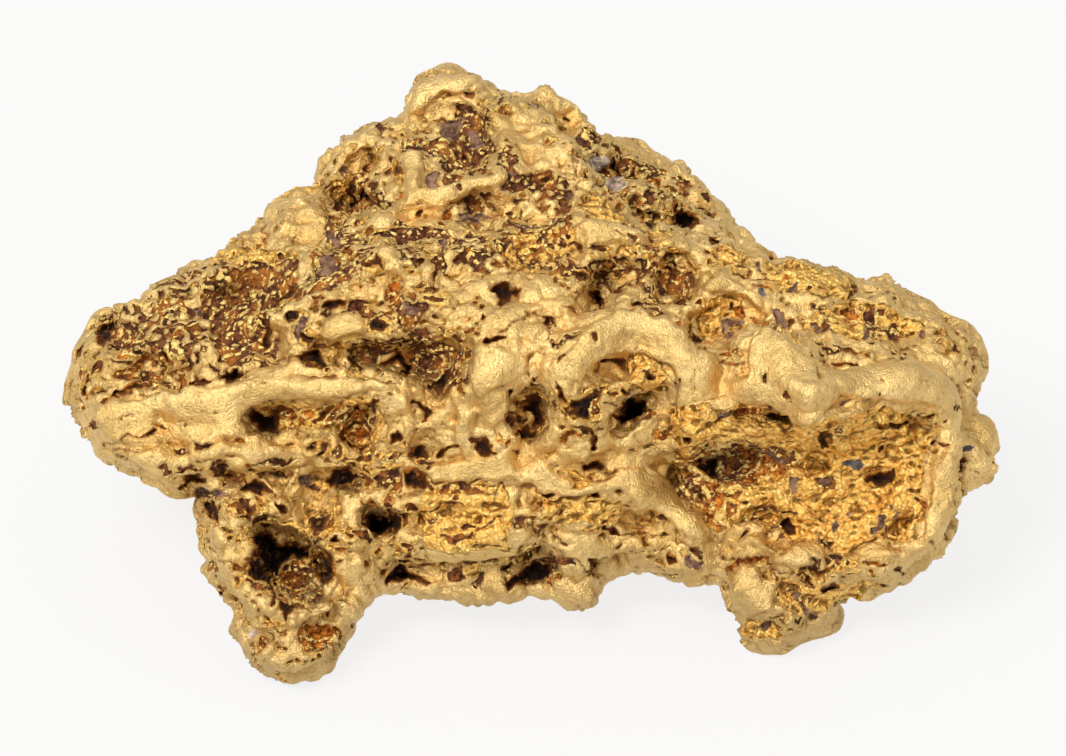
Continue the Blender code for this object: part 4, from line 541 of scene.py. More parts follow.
# CRUMB: broken bright gold.
CRUMB = [
    ((4.91, 8.31), (5.18, 8.1), (5.72, 8.05), (6.26, 8.15), (6.58, 8.05), (7.01, 7.99), (7.55, 8.05),
     (7.66, 8.37), (7.55, 8.8), (7.34, 9.0), (6.9, 9.0), (6.8, 8.69), (6.37, 8.58), (5.94, 8.58),
     (5.5, 8.75), (5.18, 8.69), (4.97, 8.53)),
    ((13.33, 8.13), (13.84, 8.09), (14.27, 8.2), (14.9, 8.09), (15.57, 8.09), (15.85, 8.27), (16.0, 8.49),
     (16.43, 8.41), (17.0, 8.27), (17.44, 8.13), (18.0, 8.16), (18.37, 8.34), (18.6, 8.7), (18.62, 8.92),
     (18.45, 9.28), (18.45, 9.85), (18.42, 10.14), (18.3, 10.64), (17.95, 10.85), (17.5, 10.7),
     (17.1, 10.85), (16.8, 11.05), (16.5, 10.95), (16.3, 10.72), (16.0, 10.72), (15.5, 10.64),
     (15.28, 10.46), (14.77, 10.46), (14.4, 10.64), (14.2, 10.64), (13.98, 10.28), (13.77, 10.07),
     (13.59, 9.85), (13.48, 9.49), (13.62, 9.13), (13.48, 8.77), (13.26, 8.49)),
    ((14.0, 8.45), (14.5, 8.35), (15.3, 8.25), (15.8, 8.45), (16.1, 8.6), (16.7, 8.35), (17.3, 8.15),
     (17.85, 8.25), (18.0, 8.55), (17.95, 8.9), (18.0, 9.3), (18.2, 9.7), (18.35, 9.9), (18.42, 10.2),
     (18.3, 10.6), (18.1, 10.85), (17.6, 10.75), (17.1, 10.95), (16.9, 11.15), (16.6, 11.0), (16.35, 10.8),
     (16.0, 10.8), (15.9, 10.85), (15.6, 10.65), (15.0, 10.45), (14.5, 10.45), (14.3, 10.6), (14.0, 10.35),
     (13.55, 9.9), (13.4, 9.6), (13.5, 9.1), (13.6, 8.8)),
    ((16.55, 6.1), (17.0, 6.05), (17.6, 6.05), (17.9, 6.1), (18.1, 6.3), (18.5, 6.4), (18.45, 6.55),
     (18.1, 6.75), (17.7, 6.85), (17.3, 6.8), (16.8, 6.7), (16.5, 6.6), (16.1, 6.6), (15.95, 6.35),
     (16.3, 6.2)),
    ((15.3, 5.25), (15.8, 5.3), (16.5, 5.4), (17.0, 5.6), (17.15, 5.75), (17.0, 6.0), (16.5, 6.0),
     (16.0, 5.85), (15.5, 5.8), (15.25, 5.55)),
    ((14.0, 6.0), (14.35, 5.9), (14.85, 6.0), (14.85, 6.35), (14.45, 6.4), (14.35, 6.7), (14.1, 6.75),
     (13.9, 6.6), (13.95, 6.3)),
    ((12.55, 7.1), (12.9, 7.05), (13.15, 7.25), (13.3, 7.6), (13.1, 7.95), (12.8, 7.9), (12.55, 7.7),
     (12.5, 7.4)),
    ((14.25, 4.95), (14.6, 4.95), (15.0, 5.15), (14.9, 5.4), (14.6, 5.35), (14.3, 5.15)),
    ((4.2, 5.0), (4.8, 4.95), (5.5, 4.95), (6.0, 5.05), (6.0, 5.3), (5.4, 5.35), (4.8, 5.3), (4.25, 5.3)),
    ((10.8, 9.95), (11.6, 9.9), (12.4, 10.0), (12.4, 10.5), (11.6, 10.45), (10.8, 10.45)),
    ((15.6, 11.5), (16.3, 11.75), (17.0, 11.7), (17.6, 11.62), (17.35, 11.88), (16.8, 12.1), (16.5, 12.25),
     (16.0, 12.3), (15.6, 12.1), (15.5, 11.8)),
    ((14.85, 12.4), (15.1, 12.4), (15.4, 12.45), (15.6, 12.5), (15.65, 12.7), (15.5, 12.75), (15.1, 12.75),
     (14.9, 12.7)),
    ((11.3, 9.4), (11.6, 9.4), (11.85, 9.45), (11.8, 9.65), (11.4, 9.68)),
    ((6.6, 3.5), (6.95, 3.5), (7.12, 3.7), (7.15, 3.9), (6.9, 4.05), (6.6, 3.95)),
    ((8.45, 9.7), (9.2, 9.65), (10.1, 9.65), (10.3, 10.2), (10.2, 10.9), (9.4, 11.0), (8.5, 10.9),
     (8.3, 10.3)),
    ((11.5, 4.2), (11.9, 4.3), (12.4, 4.5), (12.6, 4.45), (12.3, 4.2), (12.1, 3.9), (11.6, 3.9)),
    ((10.3, 4.6), (11.0, 4.5), (11.6, 4.5), (11.5, 4.8), (11.3, 5.2), (10.9, 5.4), (10.2, 5.3), (9.9, 5.0)),
]
# CRACKS: thin splits, as (half width, line).
CRACKS = [
    (0.035, ((2.58, 8.66), (2.5, 8.8))),
    (0.025, ((2.05, 8.9), (2.3, 8.88))),
    (0.03, ((2.25, 9.0), (2.75, 9.0))),
    (0.03, ((4.15, 10.9), (4.3, 11.1), (4.6, 11.25), (4.9, 11.3))),
    (0.025, ((4.2, 11.5), (4.3, 11.6))),
    (0.025, ((4.95, 12.0), (5.1, 12.1))),
    (0.03, ((6.5, 9.25), (6.8, 9.2), (7.2, 9.25), (7.5, 9.35), (7.7, 9.35))),
    (0.035, ((9.3, 9.75), (9.75, 9.6))),
    (0.035, ((9.7, 9.9), (10.1, 9.7))),
    (0.03, ((9.2, 10.1), (9.4, 10.05))),
    (0.035, ((9.7, 10.15), (10.2, 10.1))),
    (0.03, ((10.65, 10.35), (10.7, 10.6), (10.8, 10.75))),
    (0.035, ((8.2, 11.33), (8.8, 11.35), (9.2, 11.3), (9.5, 11.25))),
    (0.025, ((12.0, 8.6), (12.05, 8.45))),
    (0.03, ((12.5, 10.67), (12.75, 10.7), (12.95, 10.62), (13.1, 10.7), (13.3, 10.75))),
    (0.03, ((10.95, 10.65), (11.1, 10.75), (11.25, 10.8))),
    (0.035, ((11.0, 11.05), (11.3, 11.1), (11.55, 11.2), (11.65, 11.35), (11.8, 11.5), (11.95, 11.6))),
    (0.02, ((12.7, 11.0), (13.3, 10.95))),
    (0.03, ((15.3, 11.12), (15.36, 11.28), (15.45, 11.4), (15.6, 11.44), (15.9, 11.48))),
    (0.03, ((15.36, 10.75), (15.33, 10.85), (15.4, 10.97), (15.5, 11.04), (15.7, 11.0), (16.1, 10.88))),
    (0.02, ((15.5, 11.5), (15.35, 11.52))),
    (0.025, ((17.1, 8.45), (17.3, 8.3), (17.6, 8.2))),
    (0.02, ((18.5, 9.25), (18.65, 9.28))),
    (0.02, ((19.15, 9.45), (19.2, 9.38), (19.35, 9.35), (19.5, 9.38), (19.6, 9.48))),
    (0.025, ((18.55, 10.78), (18.68, 10.82), (18.7, 10.87))),
    (0.025, ((17.05, 11.02), (17.3, 10.87), (17.55, 10.75))),
    (0.025, ((17.75, 10.85), (18.0, 11.0), (18.03, 11.05))),
    (0.03, ((1.45, 7.6), (1.55, 7.8), (1.55, 8.0), (1.6, 8.1))),
    (0.02, ((2.45, 8.36), (2.52, 8.28), (2.64, 8.27))),
    (0.03, ((3.05, 8.27), (3.18, 8.25))),
    (0.02, ((3.1, 8.0), (3.3, 8.0))),
    (0.025, ((3.2, 7.95), (3.3, 7.82), (3.4, 7.82))),
    (0.02, ((3.6, 8.38), (3.9, 8.38))),
    (0.02, ((3.73, 8.38), (3.75, 8.5))),
    (0.035, ((3.65, 7.35), (3.77, 7.18), (3.83, 6.97))),
    (0.03, ((5.4, 8.0), (5.6, 8.15), (5.7, 8.3), (5.9, 8.3), (6.05, 8.2))),
    (0.025, ((5.4, 8.65), (5.7, 8.58), (6.1, 8.65))),
    (0.018, ((5.15, 7.6), (5.35, 7.68))),
    (0.018, ((5.75, 7.5), (6.0, 7.5))),
    (0.035, ((5.4, 7.18), (5.7, 7.2), (6.0, 7.12))),
    (0.03, ((9.05, 5.6), (9.2, 5.7), (9.6, 5.6), (9.65, 5.5))),
    (0.03, ((10.0, 6.6), (10.2, 6.5), (10.45, 6.4), (10.6, 6.3), (10.75, 6.3))),
    (0.035, ((6.0, 7.53), (6.5, 7.52), (7.0, 7.55), (7.5, 7.55), (8.0, 7.6))),
    (0.03, ((10.9, 7.05), (10.6, 7.1), (10.45, 7.2), (10.48, 7.4), (10.55, 7.5))),
    (0.025, ((7.75, 8.1), (7.8, 8.35))),
    (0.025, ((7.8, 8.4), (7.95, 8.5))),
    (0.03, ((13.2, 5.05), (13.25, 5.2), (13.4, 5.3), (13.55, 5.2), (13.55, 5.05))),
    (0.03, ((12.3, 5.2), (12.6, 5.4))),
    (0.025, ((14.02, 5.4), (14.15, 5.42))),
    (0.03, ((11.93, 7.43), (12.05, 7.32))),
    (0.02, ((13.1, 7.3), (13.1, 7.5), (13.08, 7.7), (13.2, 7.75), (13.3, 7.77))),
    (0.03, ((12.3, 7.75), (12.42, 7.73))),
    (0.03, ((12.1, 8.05), (12.3, 8.05))),
    (0.03, ((11.2, 6.15), (11.4, 6.12), (11.6, 6.2))),
    (0.025, ((10.95, 6.55), (11.0, 6.7), (10.95, 6.85), (10.85, 6.9))),
    (0.025, ((13.2, 6.2), (13.3, 6.33), (13.4, 6.4))),
    (0.025, ((12.3, 4.7), (12.45, 4.75), (12.55, 4.82))),
    (0.02, ((12.87, 4.85), (12.92, 4.9))),
    (0.03, ((7.3, 3.05), (7.38, 3.1), (7.38, 3.3))),
    (0.025, ((6.45, 3.75), (6.55, 3.6))),
    (0.03, ((7.35, 4.6), (7.45, 4.53))),
    (0.025, ((8.45, 2.3), (8.4, 2.4), (8.5, 2.5), (8.6, 2.4), (8.65, 2.5))),
    (0.03, ((11.2, 3.15), (11.35, 3.3))),
    (0.03, ((11.3, 3.45), (11.4, 3.5), (11.5, 3.6))),
    (0.035, ((11.45, 2.95), (11.5, 3.15), (11.55, 3.4), (11.6, 3.6), (11.5, 3.8))),
    (0.035, ((11.8, 4.25), (12.1, 4.36), (12.5, 4.5), (12.9, 4.6), (13.05, 4.66))),
    (0.03, ((17.0, 6.0), (17.2, 5.97))),
    (0.035, ((17.62, 5.83), (17.75, 5.86), (17.9, 5.9), (18.05, 5.95))),
    (0.02, ((17.82, 6.85), (17.85, 7.0))),
    (0.025, ((17.8, 7.25), (18.0, 7.3))),
    (0.025, ((18.7, 6.22), (18.75, 6.3), (18.8, 6.32))),
    (0.035, ((19.15, 6.7), (19.25, 6.77), (19.3, 6.8))),
    (0.025, ((19.3, 6.8), (19.4, 6.95), (19.5, 7.1), (19.6, 7.32))),
    (0.025, ((18.65, 6.8), (18.75, 6.88), (18.85, 6.87), (18.98, 7.0))),
    (0.02, ((16.55, 8.02), (16.62, 7.96))),
    (0.02, ((17.1, 8.12), (17.25, 8.16))),
    (0.02, ((18.45, 8.28), (18.7, 8.38))),
    (0.03, ((19.45, 7.83), (19.52, 7.93), (19.56, 7.85))),
    (0.025, ((16.1, 5.88), (16.3, 5.9), (16.45, 6.0))),
    (0.02, ((15.7, 5.32), (15.78, 5.28))),
    (0.02, ((16.75, 5.6), (16.85, 5.6))),
    (0.025, ((18.1, 6.95), (18.25, 6.92))),
    (0.018, ((18.4, 7.55), (18.55, 7.7))),
    (0.018, ((19.15, 7.6), (19.3, 7.75), (19.4, 7.9))),
    (0.03, ((5.28, 4.5), (5.3, 4.6), (5.34, 4.72), (5.3, 4.82))),
    (0.03, ((5.25, 4.85), (5.28, 4.95))),
    (0.03, ((4.9, 4.8), (4.86, 4.95))),
    (0.025, ((5.95, 4.6), (5.92, 4.75), (5.9, 4.9))),
    (0.02, ((15.57, 12.42), (15.62, 12.35), (15.68, 12.38), (15.66, 12.44))),
    (0.02, ((5.55, 4.2), (5.75, 4.22), (5.95, 4.33))),
    (0.02, ((12.75, 9.53), (12.78, 9.53))),
    (0.015, ((13.65, 10.75), (13.68, 10.75))),
    (0.015, ((13.95, 10.7), (13.98, 10.7))),
    (0.02, ((14.28, 10.76), (14.3, 10.76))),
    (0.03, ((4.26, 8.28), (4.3, 8.28))),
]
# QUARTZ: pale grains.
QUARTZ = [
    ((11.75, 3.2), (11.9, 3.15), (12.1, 3.1), (12.2, 3.3), (12.2, 3.5), (12.05, 3.55), (11.9, 3.5),
     (11.8, 3.4)),
    ((12.1, 3.6), (12.3, 3.52), (12.5, 3.6), (12.5, 3.7), (12.35, 3.78), (12.15, 3.75)),
    ((7.43, 5.3), (7.52, 5.27), (7.58, 5.34), (7.55, 5.42), (7.45, 5.42)),
    ((16.5, 11.67), (16.58, 11.65), (16.63, 11.72), (16.58, 11.79), (16.5, 11.77)),
    ((4.95, 12.6), (5.05, 12.55), (5.12, 12.62), (5.1, 12.75), (5.0, 12.75)),
]
# GREY: grey grains.
GREY = [
    ((15.1, 5.8), (15.2, 5.82), (15.33, 5.9), (15.25, 5.97), (15.13, 5.93)),
    ((16.8, 9.25), (16.9, 9.15), (17.05, 9.17), (17.2, 9.25), (17.28, 9.4), (17.15, 9.45), (17.0, 9.38),
     (16.9, 9.3)),
    ((19.2, 8.95), (19.3, 8.9), (19.45, 8.92), (19.45, 9.0), (19.35, 9.07), (19.25, 9.03)),
]
# Broad areas of the skin on the sheet. SPECKLED: ironstone sprinkled with gold, as (share of gold, outline).
SPECKLED = [
    (0.42, ((1.9, 6.5), (2.5, 5.9), (3.2, 5.5), (4.0, 5.1), (4.4, 5.05), (4.3, 5.6), (4.0, 6.2), (4.2, 6.8),
            (3.6, 7.5), (2.9, 7.6), (2.4, 7.6), (2.1, 7.2))),
    (0.4, ((4.0, 5.35), (5.2, 5.15), (6.1, 5.0), (6.3, 5.3), (6.1, 5.9), (5.9, 6.3), (5.6, 6.7),
           (5.45, 7.05), (5.0, 7.25), (4.3, 7.3), (4.1, 6.8), (4.1, 6.2))),
    (0.5, ((6.4, 4.4), (7.0, 4.5), (7.6, 4.75), (8.2, 4.5), (9.0, 4.5), (9.2, 4.2), (10.0, 4.2),
           (10.3, 3.5), (11.2, 3.4), (11.6, 4.2), (11.5, 4.6), (11.4, 5.2), (11.0, 5.6), (10.3, 5.55),
           (9.8, 5.7), (9.0, 5.2), (8.6, 5.7), (8.0, 5.2), (7.4, 5.6), (6.8, 5.6), (6.3, 5.8), (6.2, 5.0))),
    (0.5, ((6.55, 3.5), (7.2, 3.2), (7.75, 3.2), (7.7, 4.1), (7.2, 4.4), (6.6, 4.3))),
    (0.35, ((8.85, 2.2), (9.7, 2.2), (9.8, 3.0), (9.6, 3.5), (8.95, 3.6), (8.85, 2.9))),
    (0.55, ((7.6, 2.7), (8.6, 2.7), (8.6, 3.0), (7.6, 3.0))),
    (0.3, ((6.9, 6.7), (8.2, 6.6), (9.3, 6.8), (9.4, 7.8), (8.6, 7.9), (8.3, 7.5), (7.5, 7.45),
           (6.9, 7.3))),
    (0.5, ((6.2, 5.85), (7.1, 5.7), (8.6, 5.9), (8.5, 6.5), (7.6, 6.6), (7.3, 6.3), (6.4, 6.3))),
    (0.6, ((5.8, 5.0), (6.5, 5.1), (6.2, 6.0), (5.8, 6.0))),
    (0.55, ((4.9, 10.7), (6.3, 10.9), (6.4, 11.6), (6.0, 12.3), (5.4, 12.2), (5.0, 11.6))),
    (0.6, ((13.4, 9.5), (14.4, 9.6), (15.0, 10.1), (15.9, 10.1), (15.9, 10.7), (15.0, 10.4), (14.3, 10.6),
           (13.8, 10.2))),
    (0.4, ((11.4, 5.1), (12.5, 5.0), (13.2, 5.3), (14.0, 5.5), (13.9, 6.3), (13.2, 6.1), (12.4, 5.9),
           (11.6, 5.8))),
    (0.32, ((11.88, 2.7), (12.44, 2.85), (13.1, 3.3), (13.8, 3.8), (14.35, 4.3), (14.1, 4.5), (13.46, 4.54),
            (12.9, 4.37), (11.9, 4.1), (11.65, 3.35))),
    (0.6, ((11.3, 2.6), (12.3, 3.0), (13.4, 3.3), (14.1, 4.2), (13.8, 4.6), (12.8, 4.5), (11.9, 4.2),
           (11.4, 3.6))),
    (0.7, ((16.6, 6.1), (18.1, 6.1), (18.2, 6.7), (17.4, 6.8), (16.3, 6.6), (16.2, 6.3))),
    (0.7, ((15.6, 11.6), (17.3, 11.7), (16.8, 12.05), (16.2, 12.3), (15.7, 12.0))),
]
# SPONGY: gold riddled with small openings, as (density, outline).
SPONGY = [
    (0.55, ((4.4, 11.9), (5.5, 12.2), (6.8, 11.9), (7.1, 12.6), (6.8, 13.3), (5.8, 13.7), (5.0, 13.3))),
    (0.55, ((14.6, 12.2), (15.6, 12.2), (16.8, 12.1), (16.8, 12.7), (15.8, 13.1), (14.8, 12.9))),
    (0.85, ((3.0, 9.0), (5.0, 8.9), (6.3, 9.0), (8.5, 8.9), (10.5, 8.8), (11.0, 9.4), (10.8, 11.3),
            (9.5, 11.8), (7.6, 11.6), (6.8, 11.4), (6.3, 11.9), (5.0, 12.0), (4.5, 11.5), (4.2, 10.9),
            (4.0, 10.2), (3.4, 9.8), (2.9, 9.3))),
    (0.9, ((6.2, 5.8), (7.4, 5.6), (8.8, 5.7), (9.8, 6.2), (9.6, 6.9), (9.3, 7.6), (8.4, 7.6), (6.3, 7.4),
           (6.0, 6.8))),
    (0.9, ((10.6, 4.8), (11.6, 4.6), (12.8, 4.9), (14.2, 5.0), (14.3, 6.3), (13.3, 6.2), (12.6, 5.95),
           (11.6, 6.4), (11.0, 5.6))),
    (0.7, ((10.8, 9.3), (13.2, 9.5), (14.0, 10.6), (13.8, 11.5), (12.3, 11.6), (11.2, 11.8), (10.2, 11.8),
           (10.4, 10.6))),
    (0.9, ((11.0, 2.9), (12.2, 3.0), (13.4, 3.4), (14.4, 4.4), (13.2, 4.6), (12.0, 4.3), (11.3, 4.0))),
    (0.6, ((6.3, 3.3), (7.0, 2.7), (8.1, 2.4), (8.8, 1.9), (9.8, 1.9), (10.8, 2.2), (11.4, 2.8),
           (11.0, 3.6), (9.5, 3.8), (8.4, 4.3), (7.6, 4.8), (6.4, 4.5))),
    (0.8, ((13.0, 4.65), (14.2, 4.6), (15.2, 5.15), (16.8, 5.45), (17.2, 5.8), (16.6, 6.1), (15.6, 5.9),
           (14.2, 5.5), (13.2, 5.1))),
    (0.9, ((14.4, 11.1), (15.6, 11.2), (17.6, 11.2), (17.6, 11.7), (16.8, 12.0), (15.8, 12.1), (15.5, 11.6),
           (14.7, 11.5))),
    (0.9, ((10.4, 7.4), (11.5, 7.7), (12.5, 7.2), (13.3, 7.6), (13.2, 8.6), (12.2, 8.6), (11.2, 8.8),
           (10.3, 8.7))),
    (0.8, ((1.4, 6.8), (2.4, 6.2), (3.4, 6.8), (3.8, 7.6), (2.6, 7.8), (1.7, 8.0), (1.4, 7.6))),
    (0.8, ((6.2, 4.4), (7.5, 4.5), (9.5, 4.3), (11.5, 4.4), (11.4, 5.6), (9.6, 5.6), (8.4, 5.7), (7.4, 5.5),
           (6.2, 5.8))),
    (0.5, ((4.9, 8.0), (6.2, 8.1), (7.4, 7.9), (8.8, 7.8), (9.2, 8.8), (8.0, 8.9), (6.4, 8.8), (5.0, 8.8))),
    (0.9, ((17.9, 8.1), (18.9, 8.2), (18.9, 9.2), (18.3, 9.6), (18.0, 8.9))),
    (0.8, ((13.3, 8.4), (14.1, 8.3), (14.0, 9.1), (13.4, 9.3), (12.9, 9.0))),
    (0.5, ((4.3, 5.0), (4.6, 4.6), (5.3, 4.2), (6.1, 4.1), (6.5, 4.6), (6.2, 5.0))),
    (0.5, ((15.0, 6.1), (15.9, 6.3), (16.6, 6.8), (17.6, 6.9), (17.8, 7.3), (16.4, 7.2), (15.5, 6.6))),
    (0.7, ((18.6, 6.3), (19.3, 6.6), (19.6, 7.2), (19.4, 7.6), (18.9, 7.0), (18.5, 6.8))),
]
# PLATES: smooth worn skin.
PLATES = [
    ((15.7, 7.8), (15.8, 8.2), (15.95, 8.42), (16.15, 8.48), (16.4, 8.35), (16.55, 8.1), (16.9, 7.85),
     (16.3, 7.6)),
    ((8.4, 9.23), (9.3, 9.17), (10.1, 8.92), (10.86, 9.05), (11.2, 9.6), (12.1, 9.66), (12.7, 9.4),
     (13.3, 9.6), (13.5, 10.0), (13.9, 10.2), (14.25, 10.77), (13.8, 10.65), (13.2, 10.28), (12.4, 9.9),
     (11.6, 9.85), (10.74, 9.85), (10.25, 9.54), (9.3, 9.6), (8.65, 9.66)),
    ((8.4, 10.65), (8.9, 10.75), (9.4, 10.8), (9.6, 10.5), (10.2, 10.36), (10.55, 10.6), (10.3, 11.1),
     (9.6, 11.2), (8.7, 11.2)),
    ((10.8, 10.52), (11.5, 10.7), (12.3, 10.83), (12.2, 11.1), (11.5, 11.1), (11.0, 10.95)),
    ((11.2, 11.65), (11.9, 11.75), (12.0, 12.0), (11.5, 12.15), (11.0, 11.9)),
    ((9.15, 8.1), (9.45, 8.2), (9.55, 8.8), (9.4, 9.15), (9.2, 8.8)),
    ((10.15, 8.85), (10.6, 8.8), (11.1, 8.4), (11.35, 8.5), (11.2, 8.9), (10.7, 9.05)),
    ((2.4, 9.15), (3.2, 8.95), (4.6, 8.95), (5.9, 8.95), (6.4, 9.1), (5.9, 9.35), (5.2, 9.4), (4.8, 9.15),
     (3.9, 9.2), (3.2, 9.5)),
    ((1.5, 8.2), (2.2, 8.1), (3.0, 7.85), (4.0, 7.8), (5.1, 7.65), (6.2, 7.55), (7.4, 7.6), (8.0, 7.75),
     (7.0, 7.95), (5.6, 8.0), (4.9, 8.2), (4.9, 8.7), (4.2, 8.9), (3.0, 8.9), (2.0, 8.7)),
    ((11.0, 7.3), (11.6, 6.75), (12.2, 6.3), (12.8, 6.05), (13.2, 6.25), (13.8, 6.85), (13.95, 7.2),
     (13.9, 8.2), (13.7, 8.3), (13.5, 7.4), (12.6, 7.0), (12.0, 7.2), (11.6, 7.6), (11.1, 7.6)),
    ((13.85, 6.95), (14.2, 7.0), (14.5, 7.5), (14.9, 7.6), (14.95, 6.8), (15.3, 6.5), (15.8, 6.8),
     (16.3, 7.3), (16.4, 8.2), (16.0, 8.5), (15.5, 8.1), (14.6, 8.0), (14.0, 8.2)),
    ((16.4, 7.4), (17.4, 7.4), (18.4, 6.9), (18.9, 7.1), (19.4, 7.9), (19.1, 8.6), (19.2, 9.6),
     (19.1, 10.6), (18.6, 11.1), (18.6, 10.4), (18.7, 9.6), (19.0, 8.9), (18.7, 8.1), (17.6, 7.9),
     (16.5, 7.9)),
    ((9.35, 7.4), (9.6, 7.0), (10.1, 6.9), (10.6, 7.2), (10.6, 7.6), (10.1, 7.75), (9.6, 7.95)),
    ((6.4, 6.4), (6.7, 6.25), (7.2, 6.3), (7.3, 6.7), (6.9, 6.8), (6.5, 6.85)),
    ((14.1, 5.8), (14.4, 5.5), (14.9, 5.7), (15.3, 6.1), (15.2, 6.25), (14.9, 6.0), (14.3, 5.9)),
    ((14.6, 11.6), (15.1, 11.3), (15.5, 11.7), (15.5, 12.2), (15.0, 12.3), (14.7, 12.1)),
    ((15.5, 11.2), (16.0, 10.95), (16.3, 10.85), (16.5, 11.2), (16.5, 11.4), (16.0, 11.4)),
    ((17.1, 11.0), (17.5, 10.8), (17.9, 11.0), (18.0, 11.1), (17.4, 11.15)),
    ((14.5, 10.65), (15.1, 10.5), (15.3, 10.65), (15.3, 11.0), (14.8, 10.95), (14.5, 10.85)),
    ((8.4, 1.6), (9.0, 1.35), (9.5, 1.6), (9.3, 1.8), (8.9, 1.9), (8.5, 2.2), (8.2, 2.4)),
    ((8.1, 3.1), (8.4, 3.1), (8.4, 3.8), (9.2, 3.75), (9.9, 3.5), (9.9, 3.7), (9.2, 4.0), (8.4, 4.1),
     (8.1, 4.1)),
    ((11.5, 4.5), (12.2, 4.45), (12.9, 4.8), (12.4, 4.95), (11.8, 4.8)),
    ((12.9, 9.3), (13.3, 9.6), (13.9, 10.4), (14.1, 10.8), (13.6, 10.6), (12.9, 9.9)),
]
# Where the skin is moved to bring its outline and main forms into line with the sheet, in millimetres.
# NUDGES: shifts on the sheet, as (middle, radius, shift).
NUDGES = [
    ((8.0, 2.2), 0.4, (0.03, 0.05)), ((6.9, 2.75), 0.45, (0.06, 0.06)), ((8.8, 1.3), 0.6, (0.06, 0.07)),
    ((5.75, 3.95), 0.75, (-0.12, -0.2)), ((6.4, 3.4), 0.5, (-0.12, -0.05)),
    ((4.6, 4.8), 0.4, (-0.06, -0.08)), ((5.1, 4.4), 0.4, (0.03, 0.05)), ((3.3, 5.75), 0.6, (-0.05, -0.22)),
    ((4.05, 5.1), 0.4, (0.0, 0.04)), ((2.1, 6.3), 0.6, (-0.06, -0.08)), ((1.3, 7.5), 0.6, (0.06, 0.02)),
    ((1.6, 8.75), 0.55, (0.13, -0.09)), ((2.55, 9.5), 0.5, (0.08, -0.18)),
    ((3.6, 9.85), 0.5, (-0.05, 0.15)), ((3.95, 10.15), 0.4, (-0.14, 0.05)),
    ((4.15, 11.6), 0.4, (-0.18, 0.0)), ((4.55, 12.25), 0.4, (0.13, 0.0)),
    ((4.85, 13.1), 0.5, (0.07, -0.03)), ((6.3, 13.6), 0.5, (-0.03, -0.07)),
    ((7.3, 12.1), 0.5, (0.12, 0.18)), ((7.0, 13.1), 0.6, (-0.16, -0.08)), ((9.2, 12.0), 0.9, (0.0, 0.11)),
    ((10.5, 12.05), 0.5, (0.0, -0.05)), ((11.6, 12.1), 0.6, (0.0, 0.22)), ((12.1, 11.8), 0.35, (-0.1, 0.0)),
    ((13.0, 11.45), 0.4, (0.0, -0.04)), ((14.15, 11.45), 0.95, (0.1, 0.4)), ((12.6, 11.4), 0.4, (0.0, 0.1)),
    ((14.75, 12.6), 0.5, (0.12, 0.0)), ((15.3, 13.1), 0.5, (0.0, -0.05)),
    ((16.75, 12.5), 0.6, (0.09, 0.04)), ((17.1, 12.0), 0.5, (0.0, 0.04)),
    ((18.1, 11.7), 0.45, (0.0, -0.12)), ((18.55, 11.4), 0.5, (-0.1, -0.14)),
    ((19.05, 10.6), 0.4, (-0.04, 0.0)), ((18.8, 11.1), 0.3, (0.05, 0.07)), ((19.8, 9.3), 0.7, (0.12, 0.14)),
    ((19.7, 8.55), 0.4, (0.08, -0.06)), ((19.2, 9.9), 0.45, (0.14, 0.06)), ((19.8, 7.0), 0.6, (-0.08, 0.0)),
    ((18.2, 5.9), 0.5, (-0.03, 0.08)), ((17.5, 5.4), 0.5, (0.0, 0.14)), ((17.1, 5.55), 0.3, (0.0, -0.06)),
    ((15.1, 4.85), 0.4, (0.05, -0.16)), ((14.65, 4.5), 0.6, (0.12, -0.04)), ((13.2, 2.95), 0.6, (0.0, 0.2)),
    ((12.3, 2.8), 0.4, (0.0, -0.14)), ((11.1, 1.9), 0.4, (0.0, -0.12)), ((13.95, 3.55), 0.4, (0.08, -0.06)),
    ((15.3, 5.05), 0.4, (0.0, -0.08)),
]
# REAR_NUDGES: the same, only for skin further behind the sheet than the last number.
REAR_NUDGES = [
    ((8.35, 1.4), 1.3, (0.28, 0.58), 3.8),
]
# LIFTS: rises towards the eye, as (height, outline): the bowl's floor, its upper part, and the lobe over it.
LIFTS = [
    (0.85, ((13.3, 8.3), (14.5, 8.0), (15.8, 8.3), (17.2, 8.1), (18.3, 8.3), (18.6, 9.0), (18.4, 10.5),
            (17.8, 10.9), (16.6, 11.0), (15.4, 10.7), (14.2, 10.7), (13.5, 9.8))),
    (0.5, ((13.6, 8.15), (14.5, 8.0), (15.8, 8.25), (17.2, 8.05), (18.3, 8.3), (18.4, 8.9), (17.0, 9.1),
           (15.6, 9.0), (14.8, 8.9), (13.8, 8.8))),
    (0.5, ((15.5, 7.5), (15.75, 8.2), (15.9, 8.48), (16.15, 8.55), (16.45, 8.4), (16.65, 8.1), (17.1, 7.7),
           (16.3, 7.3))),
]

DRAWN = {"deep": DEEP, "dark": DARK, "brown": BROWN, "purple": PURPLE, "rust": RUST, "crumb": CRUMB}
DRAWN_GRAINS = {"quartz": QUARTZ, "grey": GREY}


def apply_modifiers(obj):
    """Turns the object's modifiers into plain mesh."""
    graph = bpy.context.evaluated_depsgraph_get()
    mesh = bpy.data.meshes.new_from_object(obj.evaluated_get(graph))
    obj.modifiers.clear()
    obj.data = mesh


def coordinates(obj):
    """The object's vertices as an array."""
    points = np.empty(len(obj.data.vertices) * 3)
    obj.data.vertices.foreach_get("co", points)
    return points.reshape(-1, 3)


def set_coordinates(obj, points):
    """Writes the array back to the object's vertices."""
    obj.data.vertices.foreach_set("co", points.ravel())
    obj.data.update()


def vertex_normals(obj):
    """The object's vertex normals as an array."""
    normals = np.empty(len(obj.data.vertices) * 3)
    obj.data.vertices.foreach_get("normal", normals)
    return normals.reshape(-1, 3)


